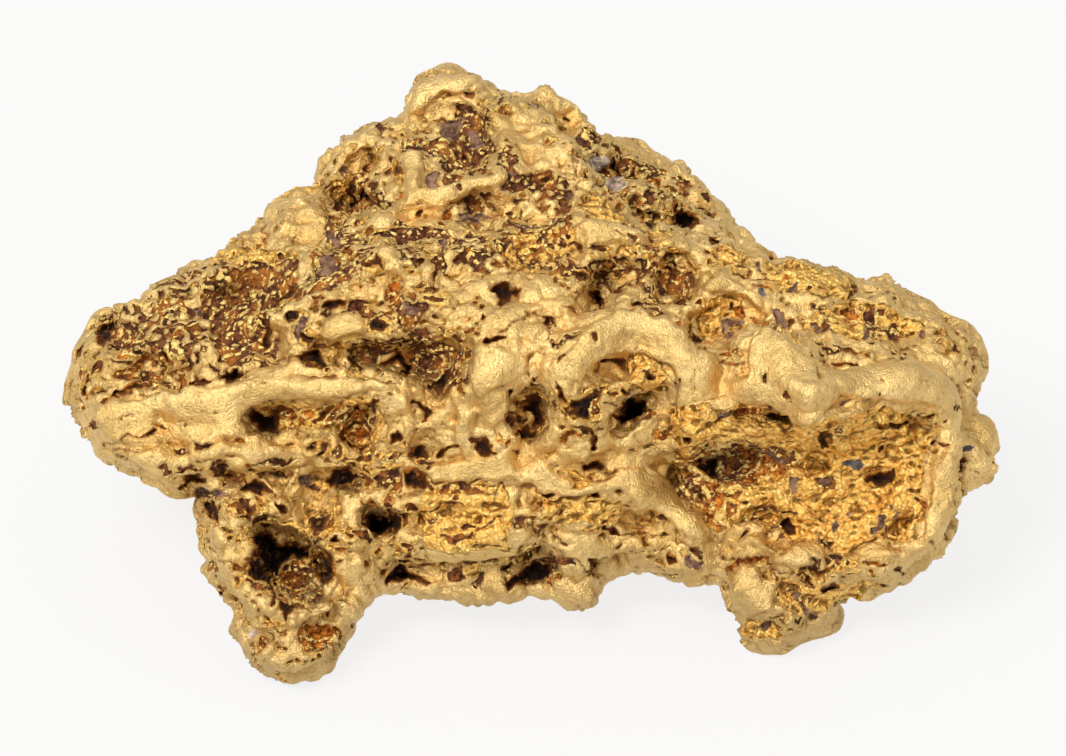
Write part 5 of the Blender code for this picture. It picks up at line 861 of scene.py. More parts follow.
def set_attribute(obj, name, values):
    """Stores one number for each vertex, for the material."""
    layer = obj.data.attributes.new(name, "FLOAT", "POINT")
    layer.data.foreach_set("value", values.astype(np.float32))


def lattice(cells, salt):
    """Three numbers from 0 to 1 for each cell of a grid, the same on every run."""
    mix = np.array(((12.9898, 39.346, 73.156), (78.233, 11.135, 52.235), (37.719, 83.155, 9.151)))
    return np.modf(np.sin(cells @ mix + salt) * 43758.5453)[0] % 1


def drift(points, size, salt):
    """A smooth random displacement, from -1 to 1 along each axis, that varies over size."""
    cells = np.floor(points / size)
    part = points / size - cells
    part = part * part * (3 - 2 * part)
    total = np.zeros_like(points)
    for corner in np.ndindex(2, 2, 2):
        weight = np.where(corner, part, 1 - part).prod(1)
        total += weight[:, None] * lattice(cells + corner, salt)
    return total * 2 - 1


def wander(points, *layers):
    """The sum of several drifts, each given as (size, amount, salt)."""
    return sum(drift(points, size, SEED + salt) * amount for size, amount, salt in layers)


def nodules(points, size, salt):
    """Height of a skin of round nodules that meet in creases: half on top of one, below 0 in a crease."""
    spots = points / size + drift(points, size * 1.1, salt) * 0.35
    cells = np.floor(spots)
    nearest = np.full(len(points), 9.0)
    for corner in np.ndindex(3, 3, 3):
        cell = cells + corner - 1
        nearest = np.minimum(nearest, ((spots - cell - lattice(cell, salt)) ** 2).sum(1))
    return 0.5 - 1.6 * nearest


def flakes(points, size, salt):
    """Height of thin crumpled flakes: sharp crests over round troughs, from -1 to 0."""
    return -np.abs(drift(points, size, salt)[:, 0] * 1.6).clip(0, 1)


def blobs(points, size, smallest, largest, salt):
    """Distance inside the nearest of many seeded balls, one to a cell, with radii as parts of its size."""
    spots = points / size
    cells = np.floor(spots)
    best = np.full(len(points), -9.0)
    for corner in np.ndindex(3, 3, 3):
        cell = cells + corner - 1
        seed = lattice(cell, SEED + salt)
        radius = smallest + (largest - smallest) * np.modf(seed.sum(1) * 7.31)[0]
        best = np.maximum(best, radius - np.linalg.norm(spots - cell - seed, axis=1))
    return best * size


def ramp(values, low, high):
    """Smooth step from 0 at low to 1 at high."""
    t = np.clip((values - low) / (high - low), 0, 1)
    return t * t * (3 - 2 * t)


def within_reach(values):
    """The values, kept from -REACH to REACH."""
    return np.clip(values, -REACH, REACH)


def on_sheet(points):
    """Where the eye sees each point on the sheet, and how far behind the sheet it is."""
    offset = points - SHEET_ORIGIN
    depth = offset @ FORWARD
    scale = EYE_DISTANCE / (EYE_DISTANCE + depth)
    across = SHEET_CENTRE[0] + (offset @ RIGHT) * scale
    down = SHEET_CENTRE[1] - (offset @ UP) * scale
    return np.stack((across, down), 1), depth


def sight_lines(points):
    """Unit directions from the eye to each point."""
    eye = SHEET_ORIGIN - FORWARD * EYE_DISTANCE
    lines = points - eye
    return lines / np.linalg.norm(lines, axis=1)[:, None]


def seen(points, normals):
    """1 where the eye sees the skin, falling to 0 where nearer skin hides it or it faces away."""
    spots, depth = on_sheet(points)
    margin = 2
    columns = np.floor(spots / SIGHT_CELL).astype(int) + margin
    shape = [int(side / SIGHT_CELL) + 4 * margin for side in SHEET_SIZE]
    columns = np.clip(columns, 1, np.array(shape) - 2)
    near = np.full(shape, 99.0)
    np.minimum.at(near, (columns[:, 0], columns[:, 1]), depth)
    gap = depth - near[columns[:, 0], columns[:, 1]]
    facing = -(normals * sight_lines(points)).sum(1)
    return (1 - ramp(gap, *HIDDEN_GAP)) * ramp(facing, *GRAZING)


def segment_distance(spots, start, edge):
    """Distance from each spot to the straight edge that leaves start."""
    offset = spots - start
    share = np.clip(offset @ edge / (edge @ edge), 0, 1)
    return np.linalg.norm(offset - share[:, None] * edge, axis=1)


def polygon_distance(spots, outline):
    """Distance to a closed outline, above 0 inside it."""
    corners = np.array(outline)
    inside = np.zeros(len(spots), bool)
    nearest = np.full(len(spots), 9.0)
    for start, end in zip(corners, np.roll(corners, -1, 0)):
        edge = end - start
        nearest = np.minimum(nearest, segment_distance(spots, start, edge))
        if start[1] != end[1]:
            crosses = (start[1] > spots[:, 1]) != (end[1] > spots[:, 1])
            crossing = start[0] + edge[0] * (spots[:, 1] - start[1]) / edge[1]
            inside ^= crosses & (spots[:, 0] < crossing)
    return np.where(inside, nearest, -nearest)


def line_distance(spots, line, half_width):
    """How far inside a stroke of the given half width each spot is."""
    nearest = np.full(len(spots), 9.0)
    for start, end in zip(np.array(line), np.array(line[1:])):
        nearest = np.minimum(nearest, segment_distance(spots, start, end - start))
    return half_width - nearest


def near_box(spots, corners):
    """Which spots lie within reach of the box around the corners."""
    corners = np.array(corners)
    return ((spots > corners.min(0) - REACH) & (spots < corners.max(0) + REACH)).all(1)


def drawn_field(spots, outlines):
    """The greatest distance inside any of the outlines, no less than -REACH."""
    field = np.full(len(spots), -REACH)
    for outline in outlines:
        near = near_box(spots, outline)
        field[near] = np.maximum(field[near], polygon_distance(spots[near], outline))
    return field


def crack_field(spots):
    """The same for the thin splits."""
    field = np.full(len(spots), -REACH)
    for half_width, line in CRACKS:
        near = near_box(spots, line)
        field[near] = np.maximum(field[near], line_distance(spots[near], line, half_width))
    return field


def zone_share(spots, zones, fade=0.14):
    """The greatest value among the zones that hold each spot, fading over their edges."""
    share = np.zeros(len(spots))
    for value, outline in zones:
        near = near_box(spots, outline)
        inside = ramp(polygon_distance(spots[near], outline), -fade, fade)
        share[near] = np.maximum(share[near], value * inside)
    return share


def nudged(points):
    """The points, moved on the sheet by the nudges and towards the eye by the lifts."""
    spots, depth = on_sheet(points)
    shift = np.zeros((len(points), 2))
    for (across, down), radius, move in NUDGES:
        away = np.linalg.norm(spots - (across, down), axis=1)
        shift += (1 - ramp(away, NUDGE_CORE * radius, radius))[:, None] * move
    for (across, down), radius, move, behind in REAR_NUDGES:
        away = np.linalg.norm(spots - (across, down), axis=1)
        share = (1 - ramp(away, NUDGE_CORE * radius, radius)) * ramp(depth, behind - 0.2, behind + 0.2)
        shift += share[:, None] * move
    lift = np.zeros(len(points))
    for height, outline in LIFTS:
        lift += height * ramp(polygon_distance(spots, outline), *LIFT_EDGE)
    return points + shift[:, :1] * RIGHT - shift[:, 1:] * UP - lift[:, None] * FORWARD


def drawn_kinds(points, front):
    """Distances inside the drawn openings and grains, with torn edges, on the side that the eye sees."""
    spots = on_sheet(points)[0] + wander(points, *RAGGED_EDGES)[:, :2]
    kinds = {kind: drawn_field(spots, outlines) for kind, outlines in DRAWN.items()}
    kinds["crack"] = crack_field(spots)
    for kind, outlines in DRAWN_GRAINS.items():
        kinds[kind] = drawn_field(spots, outlines)
    return {kind: np.where(front > 0.5, field, -REACH) for kind, field in kinds.items()}


def areas_for(points, front):
    """How worn, speckled, golden and spongy the skin is: as drawn, or by noise where it is out of sight."""
    hidden = 1 - front
    patch = drift(points, 2.3, SEED + 21)
    spots = on_sheet(points)[0] + wander(points, (0.6, 0.12, 20))[:, :2]
    strayed = spots + wander(points, (0.9, 0.4, 38))[:, :2] + wander(points, (0.35, 0.2, 39))[:, :2]
    plate_spots = spots + wander(points, (0.22, 0.07, 42))[:, :2]
    worn = zone_share(plate_spots, [(1.0, outline) for outline in PLATES], 0.06) * front
    worn += ramp(patch[:, 0], 0.05, 0.3) * hidden
    speckled = zone_share(strayed, [(1.0, outline) for _, outline in SPECKLED]) * front
    speckled += ramp(patch[:, 1], 0.12, 0.3) * hidden
    golden = zone_share(strayed, SPECKLED) / np.maximum(speckled, 0.01)
    golden = np.where(front > 0.5, golden, HIDDEN_GOLD)
    spongy = zone_share(strayed, SPONGY) * front + (0.45 + 0.55 * ramp(patch[:, 2], -0.3, 0.3)) * hidden
    return worn, speckled * (1 - worn), golden, spongy * (1 - worn)


def island_field(points):
    """Distance inside the rounded islands of gold that stand in the speckled areas."""
    warp = wander(points, *ISLAND_WARP)
    return blobs((points + warp) * np.array((0.8, 1, 1)), *ISLANDS)


def widen(kinds, kind, field):
    """Adds a field to one kind of opening."""
    kinds[kind] = np.maximum(kinds[kind], field)


def strew(points, front, kinds, areas):
    """Adds the openings that are strewn by seeded noise, after how speckled and spongy the skin is."""
    _, speckled, golden, spongy = areas
    tear = wander(points, *TEAR)
    flow = (points + tear) * np.array((0.55, 1.0, 1.1)) + wander(points, (0.8, 0.22, 2))
    torn = points + wander(points, (0.2, 0.09, 22)) + wander(points, (0.09, 0.03, 30))
    specks = blobs(torn * np.array((0.8, 1, 1)), *SPECKS)
    islands = island_field(points)
    stone = np.minimum(0.014 - specks - (golden - 0.5) * 0.11, 0.01 - islands - (golden - 0.5) * 0.3)
    stone -= (1 - speckled) * 0.25
    holes = blobs(flow, *HOLES) - (1 - spongy) * 0.16
    small_holes = blobs(flow * 1.1, *SMALL_HOLES) - (1 - spongy) * 0.1
    holes = np.maximum(holes, small_holes)
    tone = drift(points, 0.7, SEED + 26)
    widen(kinds, "brown", within_reach(stone))
    widen(kinds, "dark", within_reach(np.where(tone[:, 0] > -0.1, holes, -REACH) - 0.01))
    widen(kinds, "brown", within_reach(holes + 0.012))
    widen(kinds, "rust", within_reach(np.where(tone[:, 1] > 0.15, holes + 0.04, -REACH)))
    strew_hidden(points, front < 0.5, kinds, torn + tear * 1.5)
    widen(kinds, "crumb", np.where(spongy > 0.3, holes + 0.07, -REACH))


def strew_hidden(points, hidden, kinds, torn):
    """Adds caves, broken patches and ironstone grains to the hidden skin."""
    coarse = nodules(points[hidden] * np.array((0.62, 1.0, 1.25)), 1.15, SEED + 3)
    patch = drift(points[hidden], 1.9, SEED + 5)
    caves = within_reach((-0.3 - coarse + patch[:, 1] * 0.12) * 0.6)
    kinds["dark"][hidden] = np.maximum(kinds["dark"][hidden], caves)
    kinds["brown"][hidden] = np.maximum(kinds["brown"][hidden], caves + 0.06)
    kinds["crumb"][hidden] = within_reach((patch[:, 0] - 0.15) * 0.8)
    kinds["purple"][hidden] = within_reach(blobs(torn[hidden], *STONE_GRAINS))


def depth_of(kinds, points):
    """How far the skin sinks for all the openings."""
    torn = drift(points, 0.14, SEED + 7)[:, 0] * 0.02
    uneven = 1 + drift(points, 0.3, SEED + 34)[:, 0] * 0.5
    sink = np.zeros(len(points))
    for kind, (depth, outer, inner) in SINKS.items():
        floor = depth * ramp(kinds[kind] + torn, outer, inner)
        sink = np.maximum(sink, floor * uneven if kind in UNEVEN_FLOORS else floor)
    return sink


def broken(kinds, *names):
    """0 outside the named openings, 1 inside."""
    return ramp(np.maximum.reduce([kinds[name] for name in names]), -0.01, 0.07)


def grain_height(points, kinds, areas):
    """Crumbs in the openings, lumps on the broken skin, and a faint swell on the worn plates."""
    worn, speckled = areas[:2]
    rough = broken(kinds, "deep", "dark", "brown", "purple", "rust", "crumb")
    flakiness = broken(kinds, "crumb", "rust") * (1 - broken(kinds, "brown", "dark"))
    strewn = points * np.array((0.6, 1, 1))
    crumbs = nodules(points, 0.24, SEED + 8) * 0.08 + nodules(points, 0.12, SEED + 9) * 0.05
    flaky = nodules(strewn, 0.3, SEED + 40) * 0.09 + nodules(strewn, 0.14, SEED + 41) * 0.04
    flaky += 0.03 + flakes(strewn, 0.24, SEED + 35) * 0.07 + flakes(strewn, 0.11, SEED + 36) * 0.04
    swell = drift(points, 0.9, SEED + 10)[:, 0] * 0.07 + drift(points, 0.36, SEED + 12)[:, 1] * 0.035
    swell += drift(points, 0.12, SEED + 13)[:, 0] * 0.01
    lumps = nodules(points * np.array((0.75, 1, 1)), 0.62, SEED + 14) * 0.15
    lumps += nodules(points, 0.3, SEED + 15) * 0.075 + flakes(points, 0.2, SEED + 37) * 0.04
    islands = 0.13 * ramp(island_field(points), -0.05, 0.1)
    inside = crumbs * (1 - flakiness) + flaky * flakiness + lumps * 0.35
    outside = swell + lumps * (1 - worn)
    return inside * rough + outside * (1 - rough) + islands * speckled + PLATE_RISE * worn


def edge_ends(obj):
    """The two ends of every edge."""
    ends = np.empty(len(obj.data.edges) * 2, int)
    obj.data.edges.foreach_get("vertices", ends)
    return ends.reshape(-1, 2)


def blurred(values, ends, rounds):
    """The values averaged over the mesh, round after round."""
    count = np.bincount(ends.ravel(), minlength=len(values))[:, None]
    for _ in range(rounds):
        total = np.empty_like(values)
        for axis in range(values.shape[1]):
            total[:, axis] = np.bincount(ends[:, 0], values[ends[:, 1], axis], len(values))
            total[:, axis] += np.bincount(ends[:, 1], values[ends[:, 0], axis], len(values))
        values = 0.5 * values + 0.5 * total / np.maximum(count, 1)
    return values


def relief(obj, rounds):
    """How far each vertex stands above its blurred surroundings: below 0 in a crease."""
    points = coordinates(obj)
    normals = vertex_normals(obj)
    return ((points - blurred(points, edge_ends(obj), rounds)) * normals).sum(1)


def bare_skin():
    """The solid's skin in millimetres, fine and even, brought into line with the sheet."""
    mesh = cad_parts["gold_nugget"].data.copy()
    mesh.transform(Matrix.Scale(1 / MM, 4))
    mesh.materials.clear()
    obj = bpy.data.objects.new("nugget_skin", mesh)
    bpy.context.scene.collection.objects.link(obj)
    remesh = obj.modifiers.new("remesh", "REMESH")
    remesh.mode = "VOXEL"
    remesh.voxel_size = BASE_VOXEL
    remesh.use_smooth_shade = True
    smooth = obj.modifiers.new("smooth", "SMOOTH")
    smooth.factor = 0.5
    smooth.iterations = SOFTENING
    apply_modifiers(obj)
    set_coordinates(obj, nudged(coordinates(obj)))
    return obj


def dressed_skin():
    """The nugget's skin with all its openings and its relief, in millimetres."""
    obj = bare_skin()
    points = coordinates(obj)
    normals = vertex_normals(obj)
    front = seen(points, normals)
    areas = areas_for(points, front)
    kinds = drawn_kinds(points, front)
    strew(points, front, kinds, areas)
    clear = ramp(points[:, 2], *BARE_FOOT)
    inward = sight_lines(points) * front[:, None] - normals * (1 - front)[:, None]
    inward /= np.linalg.norm(inward, axis=1)[:, None]
    points = points + inward * (depth_of(kinds, points) * clear)[:, None]
    points = points + normals * (grain_height(points, kinds, areas) * clear)[:, None]
    set_coordinates(obj, points)
    for kind, field in kinds.items():
        set_attribute(obj, kind, field)
    set_attribute(obj, "fine_relief", relief(obj, FINE_ROUNDS))
    set_attribute(obj, "broad_relief", relief(obj, BROAD_ROUNDS))
    return obj


def settle_lone_faces(corners, slab):
    """Gives each face with no face of its own slab beside it to the slab of one that is."""
    ends = np.sort(np.stack((corners, np.roll(corners, -1, 1)), 2).reshape(-1, 2), axis=1)
    keys = ends[:, 0] * (corners.max() + 1) + ends[:, 1]
    order = np.argsort(keys, kind="stable")
    shared = keys[order][1:] == keys[order][:-1]
    first, second = order[:-1][shared] // 4, order[1:][shared] // 4
    lone = np.ones(len(slab), bool)
    same = slab[first] == slab[second]
    lone[first[same]] = False
    lone[second[same]] = False
    for here, there in ((first, second), (second, first)):
        moved = lone[here]
        slab[here[moved]] = slab[there[moved]]


def split_skin(skin):
    """Cuts the skin into slabs along the nugget, pieces of moderate size with the normals of the whole."""
    mesh = skin.data
    points = coordinates(skin)
    normals = vertex_normals(skin)
    centres = np.empty(len(mesh.polygons) * 3)
    mesh.polygons.foreach_get("center", centres)
    across = centres[::3]
    cuts = np.quantile(across, np.linspace(0, 1, SLABS + 1))
    slab = np.clip(np.searchsorted(cuts, across) - 1, 0, SLABS - 1)
    corners = np.empty(len(mesh.loops), int)
    mesh.loops.foreach_get("vertex_index", corners)
    corners = corners.reshape(-1, 4)
    settle_lone_faces(corners, slab)
    pieces = []
    for index in range(SLABS):
        used, local = np.unique(corners[slab == index], return_inverse=True)
        part = bpy.data.meshes.new(f"nugget_skin_{index + 1}")
        part.from_pydata(points[used].tolist(), [], local.reshape(-1, 4).tolist())
        piece = bpy.data.objects.new(f"nugget_skin_{index + 1}", part)
        bpy.context.scene.collection.objects.link(piece)
        for layer in mesh.attributes:
            if layer.domain == "POINT" and layer.data_type == "FLOAT":
                values = np.empty(len(mesh.vertices), np.float32)
                layer.data.foreach_get("value", values)
                set_attribute(piece, layer.name, values[used])
        part.shade_smooth()
        part.normals_split_custom_set_from_vertices(normals[used].tolist())
        pieces.append(piece)
    bpy.data.objects.remove(skin)
    return pieces


class Nodes:
    """Short helpers for building one material. Sizes are in millimetres."""

    def __init__(self, name):
        self.material = bpy.data.materials.new(name)
        self.material.use_nodes = True
        self.tree = self.material.node_tree
        self.tree.nodes.clear()
        output = self.tree.nodes.new("ShaderNodeOutputMaterial")
        self.shader = self.tree.nodes.new("ShaderNodeBsdfPrincipled")
        self.tree.links.new(self.shader.outputs[0], output.inputs[0])
        self.place = self.tree.nodes.new("ShaderNodeTexCoord").outputs["Object"]
        split = self.tree.nodes.new("ShaderNodeSeparateXYZ")
        self.tree.links.new(self.place, split.inputs[0])
        self.height = split.outputs["Z"]

    def feed(self, socket, value):
        """Links a socket to the value, or sets it to the number."""
        if isinstance(value, bpy.types.NodeSocket):
            self.tree.links.new(value, socket)
        else:
            socket.default_value = value

    def math(self, operation, first, second):
        """One of Blender's sums with two numbers."""
        node = self.tree.nodes.new("ShaderNodeMath")
        node.operation = operation
        self.feed(node.inputs[0], first)
        self.feed(node.inputs[1], second)
        return node.outputs[0]

    def times(self, first, second):
        """The product of two numbers."""
        return self.math("MULTIPLY", first, second)

    def plus(self, first, second):
        """The sum of two numbers."""
        return self.math("ADD", first, second)

    def minus(self, first, second):
        """The difference of two numbers."""
        return self.math("SUBTRACT", first, second)

    def most(self, first, second):
        """The greater of two numbers."""
        return self.math("MAXIMUM", first, second)

    def noise(self, size, detail=2.0, roughness=0.5, stretch=None):
        """Cloudy noise from 0 to 1."""
        node = self.tree.nodes.new("ShaderNodeTexNoise")
        place = self.place
        if stretch:
            scaled = self.tree.nodes.new("ShaderNodeVectorMath")
            scaled.operation = "MULTIPLY"
            self.feed(scaled.inputs[0], place)
            scaled.inputs[1].default_value = stretch
            place = scaled.outputs[0]
        self.feed(node.inputs["Vector"], place)
        node.inputs["Scale"].default_value = 1 / (size * MM)
        node.inputs["Detail"].default_value = detail
        node.inputs["Roughness"].default_value = roughness
        return node.outputs["Fac"]

    def grains(self, size):
        """Distance to the middle of the nearest grain, where 1 is the given size."""
        node = self.tree.nodes.new("ShaderNodeTexVoronoi")
        self.feed(node.inputs["Vector"], self.place)
        node.inputs["Scale"].default_value = 1 / (size * MM)
        return node.outputs["Distance"]

    def attribute(self, name):
        """A number that the mesh holds for each vertex."""
        node = self.tree.nodes.new("ShaderNodeAttribute")
        node.attribute_name = name
        return node.outputs["Fac"]

    def step(self, value, low, high):
        """Smooth step from 0 at low to 1 at high."""
        node = self.tree.nodes.new("ShaderNodeMapRange")
        node.interpolation_type = "SMOOTHSTEP"
        self.feed(node.inputs["Value"], value)
        node.inputs["From Min"].default_value = low
        node.inputs["From Max"].default_value = high
        return node.outputs[0]

    def blend(self, share, low, high):
        """Between two colours, each a linear RGB triple or a socket."""
        node = self.tree.nodes.new("ShaderNodeMix")
        node.data_type = "RGBA"
        self.feed(node.inputs[0], share)
        for socket, value in ((node.inputs[6], low), (node.inputs[7], high)):
            self.feed(socket, value if isinstance(value, bpy.types.NodeSocket) else (*value, 1.0))
        return node.outputs[2]

    def lerp(self, share, low, high):
        """Between two numbers."""
        node = self.tree.nodes.new("ShaderNodeMix")
        self.feed(node.inputs[0], share)
        self.feed(node.inputs[2], low)
        self.feed(node.inputs[3], high)
        return node.outputs[0]

    def bump(self, height, strength, distance, normal=None):
        """A bumped normal, over another one if that is given."""
        node = self.tree.nodes.new("ShaderNodeBump")
        node.inputs["Strength"].default_value = strength
        node.inputs["Distance"].default_value = distance * MM
        self.feed(node.inputs["Height"], height)
        if normal is not None:
            self.feed(node.inputs["Normal"], normal)
        return node.outputs[0]


def srgb(red, green, blue):
    """Linear colour from 8-bit sRGB levels."""
    return tuple(((c / 255 + 0.055) / 1.055) ** 2.4 if c > 10 else c / 3294.6 for c in (red, green, blue))


WORN_LIGHT = srgb(236, 202, 134)
WORN_TAN = srgb(216, 180, 112)
# Grey of the worn gold's mottling, also used for its painted shade towards the floor.
WORN_GREY_AND_FLOOR_SHADE = srgb(166, 136, 90)
# Bright gold, also used as the painted highlight on the crumbs' tops.
BRIGHT_GOLD_AND_HIGHLIGHT = srgb(255, 224, 138)
CRUMB_DEEP = srgb(242, 190, 98)
# Painted shade, laid into creases where the fine relief dips.
CREASE_SHADE = srgb(104, 60, 20)
RUST_LIGHT = srgb(204, 126, 44)
RUST_DARK = srgb(104, 51, 16)
BROWN_LIGHT = srgb(126, 74, 38)
BROWN_DARK = srgb(68, 33, 13)
PURPLE_LIGHT = srgb(150, 116, 92)
PURPLE_DARK = srgb(98, 66, 48)
QUARTZ_PALE = srgb(204, 184, 166)
QUARTZ_STAINED = srgb(158, 128, 108)
GREY_LIGHT = srgb(124, 114, 108)
GREY_DARK = srgb(74, 65, 62)
PIT_EDGE = srgb(120, 70, 28)
# Painted shade at the bottom of the dark hollows and caves.
PIT_SHADE = srgb(34, 14, 5)
PIT_BIT = srgb(206, 140, 54)

# Heights above the floor over which painted shade greys the worn skin towards the bottom, in millimetres.
FLOOR_SHADE_HEIGHTS = (3.2, 0.3)
SATIN = (0.34, 0.55)  # roughness of worn gold, from its smoothest to its dullest
STONE_ROUGHNESS = 0.75


class Skin(Nodes):
    """The skin's material: what its patterns and masks are, and the colour of each kind of surface."""

    def __init__(self):
        super().__init__("native_gold_skin")
        self.jitter = self.times(self.minus(self.noise(0.05, 3.0, 0.6), 0.5), 0.09)
        self.grain = self.noise(0.04, 3.0, 0.6)
        self.speck = self.noise(0.16, 4.0, 0.65)
        self.cells = self.grains(0.09)
        self.fine = self.attribute("fine_relief")
        self.crumb = self.inside("crumb", -0.02, 0.03)
        self.rust = self.inside("rust", -0.02, 0.03)
        self.brown = self.inside("brown")
        self.purple = self.inside("purple")
        self.quartz = self.inside("quartz")
        self.grey = self.inside("grey")
        dark = self.most(self.inside("dark"), self.inside("deep"))
        self.shade = self.most(dark, self.times(self.inside("crack", 0.0, 0.022), 0.7))
        # How deep the dark hollows sink, which sets how dark their painted shade is.
        depth = self.most(self.attribute("dark"), self.attribute("deep"))
        self.sunk = self.step(self.plus(depth, self.times(self.jitter, 1.5)), 0.01, 0.11)
        self.bits = self.gold_bits()

    def inside(self, kind, low=-0.006, high=0.012):
        """1 inside one kind of opening, with a frayed edge."""
        return self.step(self.plus(self.attribute(kind), self.jitter), low, high)

    def standing(self, fray, low, high):
        """From 0 to 1 as the fine relief, frayed by some of the jitter, goes from low to high."""
        return self.step(self.plus(self.fine, self.times(self.jitter, fray)), low, high)

    def speckled(self, low, high, first, second):
        """Two colours in the pattern of the specks."""
        return self.blend(self.step(self.speck, low, high), first, second)

    def gold_bits(self):
        """Gold that shows through ironstone: its high spots, and dots here and there."""
        dotted = self.step(self.noise(0.35), 0.5, 0.57)
        dots = self.times(self.step(self.grains(0.12), 0.4, 0.26), dotted)
        return self.most(self.standing(0.3, 0.005, 0.011), dots)

    def worn_gold(self):
        """Satin gold, clouded, speckled with grey, brighter in its dips, and greyed towards the floor by
        painted shade.
        """
        cloud = self.noise(0.9, 3.0, 0.55, (0.7, 1.0, 1.2))
        colour = self.blend(self.step(cloud, 0.35, 0.65), WORN_TAN, WORN_LIGHT)
        colour = self.blend(self.times(self.step(self.grain, 0.5, 0.75), 0.4), colour, WORN_GREY_AND_FLOOR_SHADE)
        colour = self.blend(self.times(self.step(self.speck, 0.5, 0.68), 0.5), colour, WORN_GREY_AND_FLOOR_SHADE)
        dips = self.plus(self.attribute("broad_relief"), self.times(self.jitter, 0.4))
        colour = self.blend(self.times(self.step(dips, -0.01, -0.07), 0.35), colour, CRUMB_DEEP)
        # Painted shade: the worn gold greys towards the floor.
        top, bottom = FLOOR_SHADE_HEIGHTS
        return self.blend(self.times(self.step(self.height, top * MM, bottom * MM), 0.4), colour, WORN_GREY_AND_FLOOR_SHADE)

    def broken_gold(self):
        """Bright fresh gold, with a painted highlight on each crumb's top and painted shade in its creases.
        """
        # Painted highlight: each crumb is lightest in its middle, where its bump stands highest, and deeper
        # gold at its edges.
        colour = self.blend(self.step(self.cells, 0.2, 0.6), BRIGHT_GOLD_AND_HIGHLIGHT, CRUMB_DEEP)
        return self.blend(self.times(self.standing(0.12, 0.0, -0.014), 0.6), colour, CREASE_SHADE)

    def rusty_gold(self):
        """Iron stain with gold glinting on its high spots."""
        colour = self.speckled(0.4, 0.6, RUST_DARK, RUST_LIGHT)
        glint = self.step(self.plus(self.fine, self.jitter), 0.0, 0.012)
        return self.blend(self.times(glint, 0.85), colour, BRIGHT_GOLD_AND_HIGHLIGHT)

    def ironstone(self):
        """Brown ironstone, rusty in places, with bits of gold."""
        stain = self.step(self.noise(0.45, 3.0, 0.6), 0.5, 0.62)
        colour = self.speckled(0.42, 0.62, BROWN_DARK, BROWN_LIGHT)
        colour = self.blend(self.times(stain, 0.5), colour, RUST_LIGHT)
        return self.blend(self.bits, colour, BRIGHT_GOLD_AND_HIGHLIGHT)

    def pit(self):
        """Dark hollows, brown at the edge and painted darker with shade the deeper they sink, where a few
        bits catch the light, fainter the deeper they lie.
        """
        colour = self.blend(self.sunk, PIT_EDGE, PIT_SHADE)
        lit = self.times(self.standing(0.5, 0.006, 0.022), self.lerp(self.sunk, 0.85, 0.25))
        return self.blend(lit, colour, PIT_BIT)

    def colour(self):
        """All the kinds of surface, one over another, with painted shade in the creases and hollows."""
        colour = self.blend(self.crumb, self.worn_gold(), self.broken_gold())
        # Painted shade in every crease, where the fine relief dips below its surroundings.
        colour = self.blend(self.times(self.standing(0.1, -0.006, -0.03), 0.55), colour, CREASE_SHADE)
        for mask, layer in (
            (self.rust, self.rusty_gold()),
            (self.brown, self.ironstone()),
            (self.purple, self.speckled(0.4, 0.6, PURPLE_DARK, PURPLE_LIGHT)),
            (self.quartz, self.speckled(0.4, 0.65, QUARTZ_PALE, QUARTZ_STAINED)),
            (self.grey, self.speckled(0.4, 0.6, GREY_LIGHT, GREY_DARK)),
            (self.shade, self.pit()),
        ):
            colour = self.blend(mask, colour, layer)
        return colour

    def mineral(self):
        """1 where the skin is stone or dirt or a hollow painted with shade, and 0 where it is gold."""
        mineral = self.most(self.times(self.brown, self.minus(1.0, self.bits)), self.purple)
        mineral = self.most(mineral, self.times(self.shade, self.lerp(self.sunk, 0.4, 1.0)))
        return self.most(mineral, self.most(self.quartz, self.grey))

    def normal(self):
        """Bumps: crumbs and ripples where the skin is open; swells, specks and grain all over."""
        open_area = self.most(self.crumb, self.most(self.rust, self.brown))
        crumbs = self.times(self.minus(1.0, self.cells), open_area)
        ripples = self.times(self.noise(0.07, 3.0, 0.7, (0.5, 1.0, 1.0)), open_area)
        swells = self.noise(0.34, 3.0, 0.6)
        normal = None
        for height, strength, distance in (
            (crumbs, 0.8, 0.06),
            (ripples, 0.9, 0.05),
            (swells, 0.7, 0.1),
            (self.speck, 0.7, 0.045),
            (self.grain, 0.9, 0.026),
        ):
            normal = self.bump(height, strength, distance, normal)
        return normal


def skin_material():
    """Worn satin gold, bright crumbs where it is broken, and ironstone in the openings."""
    skin = Skin()
    mineral = skin.mineral()
    metal = skin.minus(1.0, skin.most(mineral, skin.times(skin.rust, 0.35)))
    roughness = skin.lerp(skin.step(skin.grain, 0.3, 0.7), *SATIN)
    roughness = skin.lerp(skin.crumb, roughness, SATIN[0])
    roughness = skin.lerp(mineral, roughness, STONE_ROUGHNESS)
    skin.feed(skin.shader.inputs["Base Color"], skin.colour())
    skin.feed(skin.shader.inputs["Metallic"], metal)
    skin.feed(skin.shader.inputs["Roughness"], roughness)
    skin.shader.inputs["Specular IOR Level"].default_value = 0.25
    skin.feed(skin.shader.inputs["Normal"], skin.normal())
    return skin.material


def finish_skin(obj, material):
    """Shrinks a piece of skin to metres, gives it its material and ties it to the nugget's body."""
    obj.data.transform(Matrix.Scale(MM, 4))
    obj.data.materials.append(material)
    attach(obj, "root")
    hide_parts("gold_nugget")


# The studio, in metres and watts.
FLOOR_HALF = 1.2
FLOOR_GREY = 0.08  # what the floor reflects
FLOOR_GLOW = 0.835  # and what it gives off, which keeps shadows pale
TENT_RISE = (-0.2, 0.9)  # heights of the light tent, as parts of its radius
TENT_STRENGTH = (0.34, 1.0)  # its strength at those heights
KEY_PLACE = (-0.12, -0.17, 0.27)
KEY_SIZE = 0.12
KEY_POWER = 1.06
SENSOR = 36  # the camera's, in millimetres


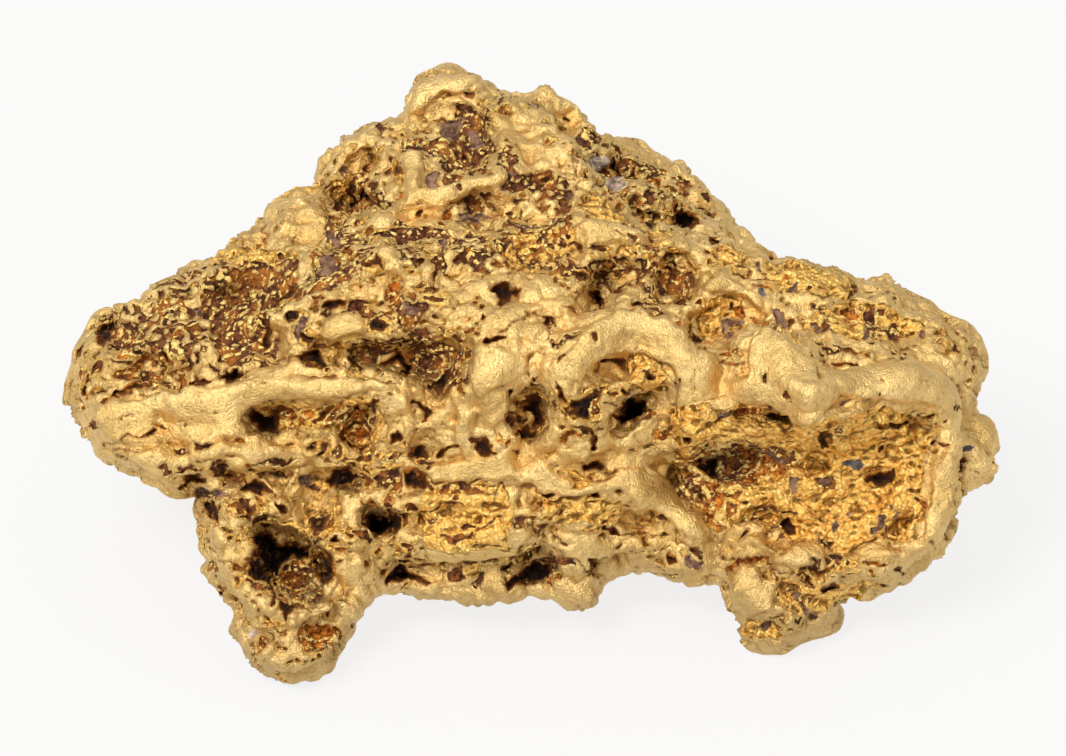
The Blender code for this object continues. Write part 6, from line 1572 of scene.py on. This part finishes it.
def add_floor():
    """A plain pale floor."""
    mesh = bpy.data.meshes.new("floor")
    corners = [(-1, -1), (1, -1), (1, 1), (-1, 1)]
    mesh.from_pydata([(x * FLOOR_HALF, y * FLOOR_HALF, 0) for x, y in corners], [], [(0, 1, 2, 3)])
    floor = bpy.data.objects.new("floor", mesh)
    bpy.context.scene.collection.objects.link(floor)
    n = Nodes("pale_floor")
    n.shader.inputs["Base Color"].default_value = (FLOOR_GREY, FLOOR_GREY, FLOOR_GREY, 1)
    n.shader.inputs["Emission Color"].default_value = (1, 0.995, 0.99, 1)
    n.shader.inputs["Emission Strength"].default_value = FLOOR_GLOW
    n.shader.inputs["Roughness"].default_value = 0.9
    n.shader.inputs["Specular IOR Level"].default_value = 0.1
    mesh.materials.append(n.material)


def add_tent():
    """A white light tent, brighter towards its top."""
    world = bpy.data.worlds.new("tent")
    bpy.context.scene.world = world
    world.use_nodes = True
    tree = world.node_tree
    background = tree.nodes["Background"]
    place = tree.nodes.new("ShaderNodeTexCoord")
    split = tree.nodes.new("ShaderNodeSeparateXYZ")
    rise = tree.nodes.new("ShaderNodeMapRange")
    rise.inputs["From Min"].default_value, rise.inputs["From Max"].default_value = TENT_RISE
    rise.inputs["To Min"].default_value, rise.inputs["To Max"].default_value = TENT_STRENGTH
    tree.links.new(place.outputs["Generated"], split.inputs[0])
    tree.links.new(split.outputs["Z"], rise.inputs["Value"])
    tree.links.new(rise.outputs[0], background.inputs["Strength"])
    background.inputs["Color"].default_value = (1.0, 0.99, 0.98, 1)


def add_key():
    """A soft lamp at the upper left, turned to the nugget."""
    lamp = bpy.data.lights.new("key", "AREA")
    lamp.energy = KEY_POWER
    lamp.size = KEY_SIZE
    lamp.color = (1.0, 0.98, 0.95)
    key = bpy.data.objects.new("key", lamp)
    bpy.context.scene.collection.objects.link(key)
    key.location = KEY_PLACE
    key.rotation_euler = Vector(KEY_PLACE).to_track_quat("Z", "Y").to_euler()


def add_camera():
    """The eye, looking at the middle of the sheet."""
    data = bpy.data.cameras.new("eye")
    camera = bpy.data.objects.new("eye", data)
    bpy.context.scene.collection.objects.link(camera)
    data.sensor_width = SENSOR
    data.lens = SENSOR * EYE_DISTANCE / SHEET_SIZE[0]
    data.clip_start = 0.01
    data.clip_end = 10
    axes = Matrix((Vector(RIGHT), Vector(UP), Vector(-FORWARD))).transposed()
    camera.matrix_world = axes.to_4x4()
    camera.location = Vector((SHEET_ORIGIN - FORWARD * EYE_DISTANCE) * MM)
    bpy.context.scene.camera = camera


def main():
    """Makes the skin, the studio and the camera."""
    material = skin_material()
    for piece in split_skin(dressed_skin()):
        finish_skin(piece, material)
    add_floor()
    add_tent()
    add_key()
    add_camera()
    bpy.context.scene.view_settings.view_transform = "Standard"


main()
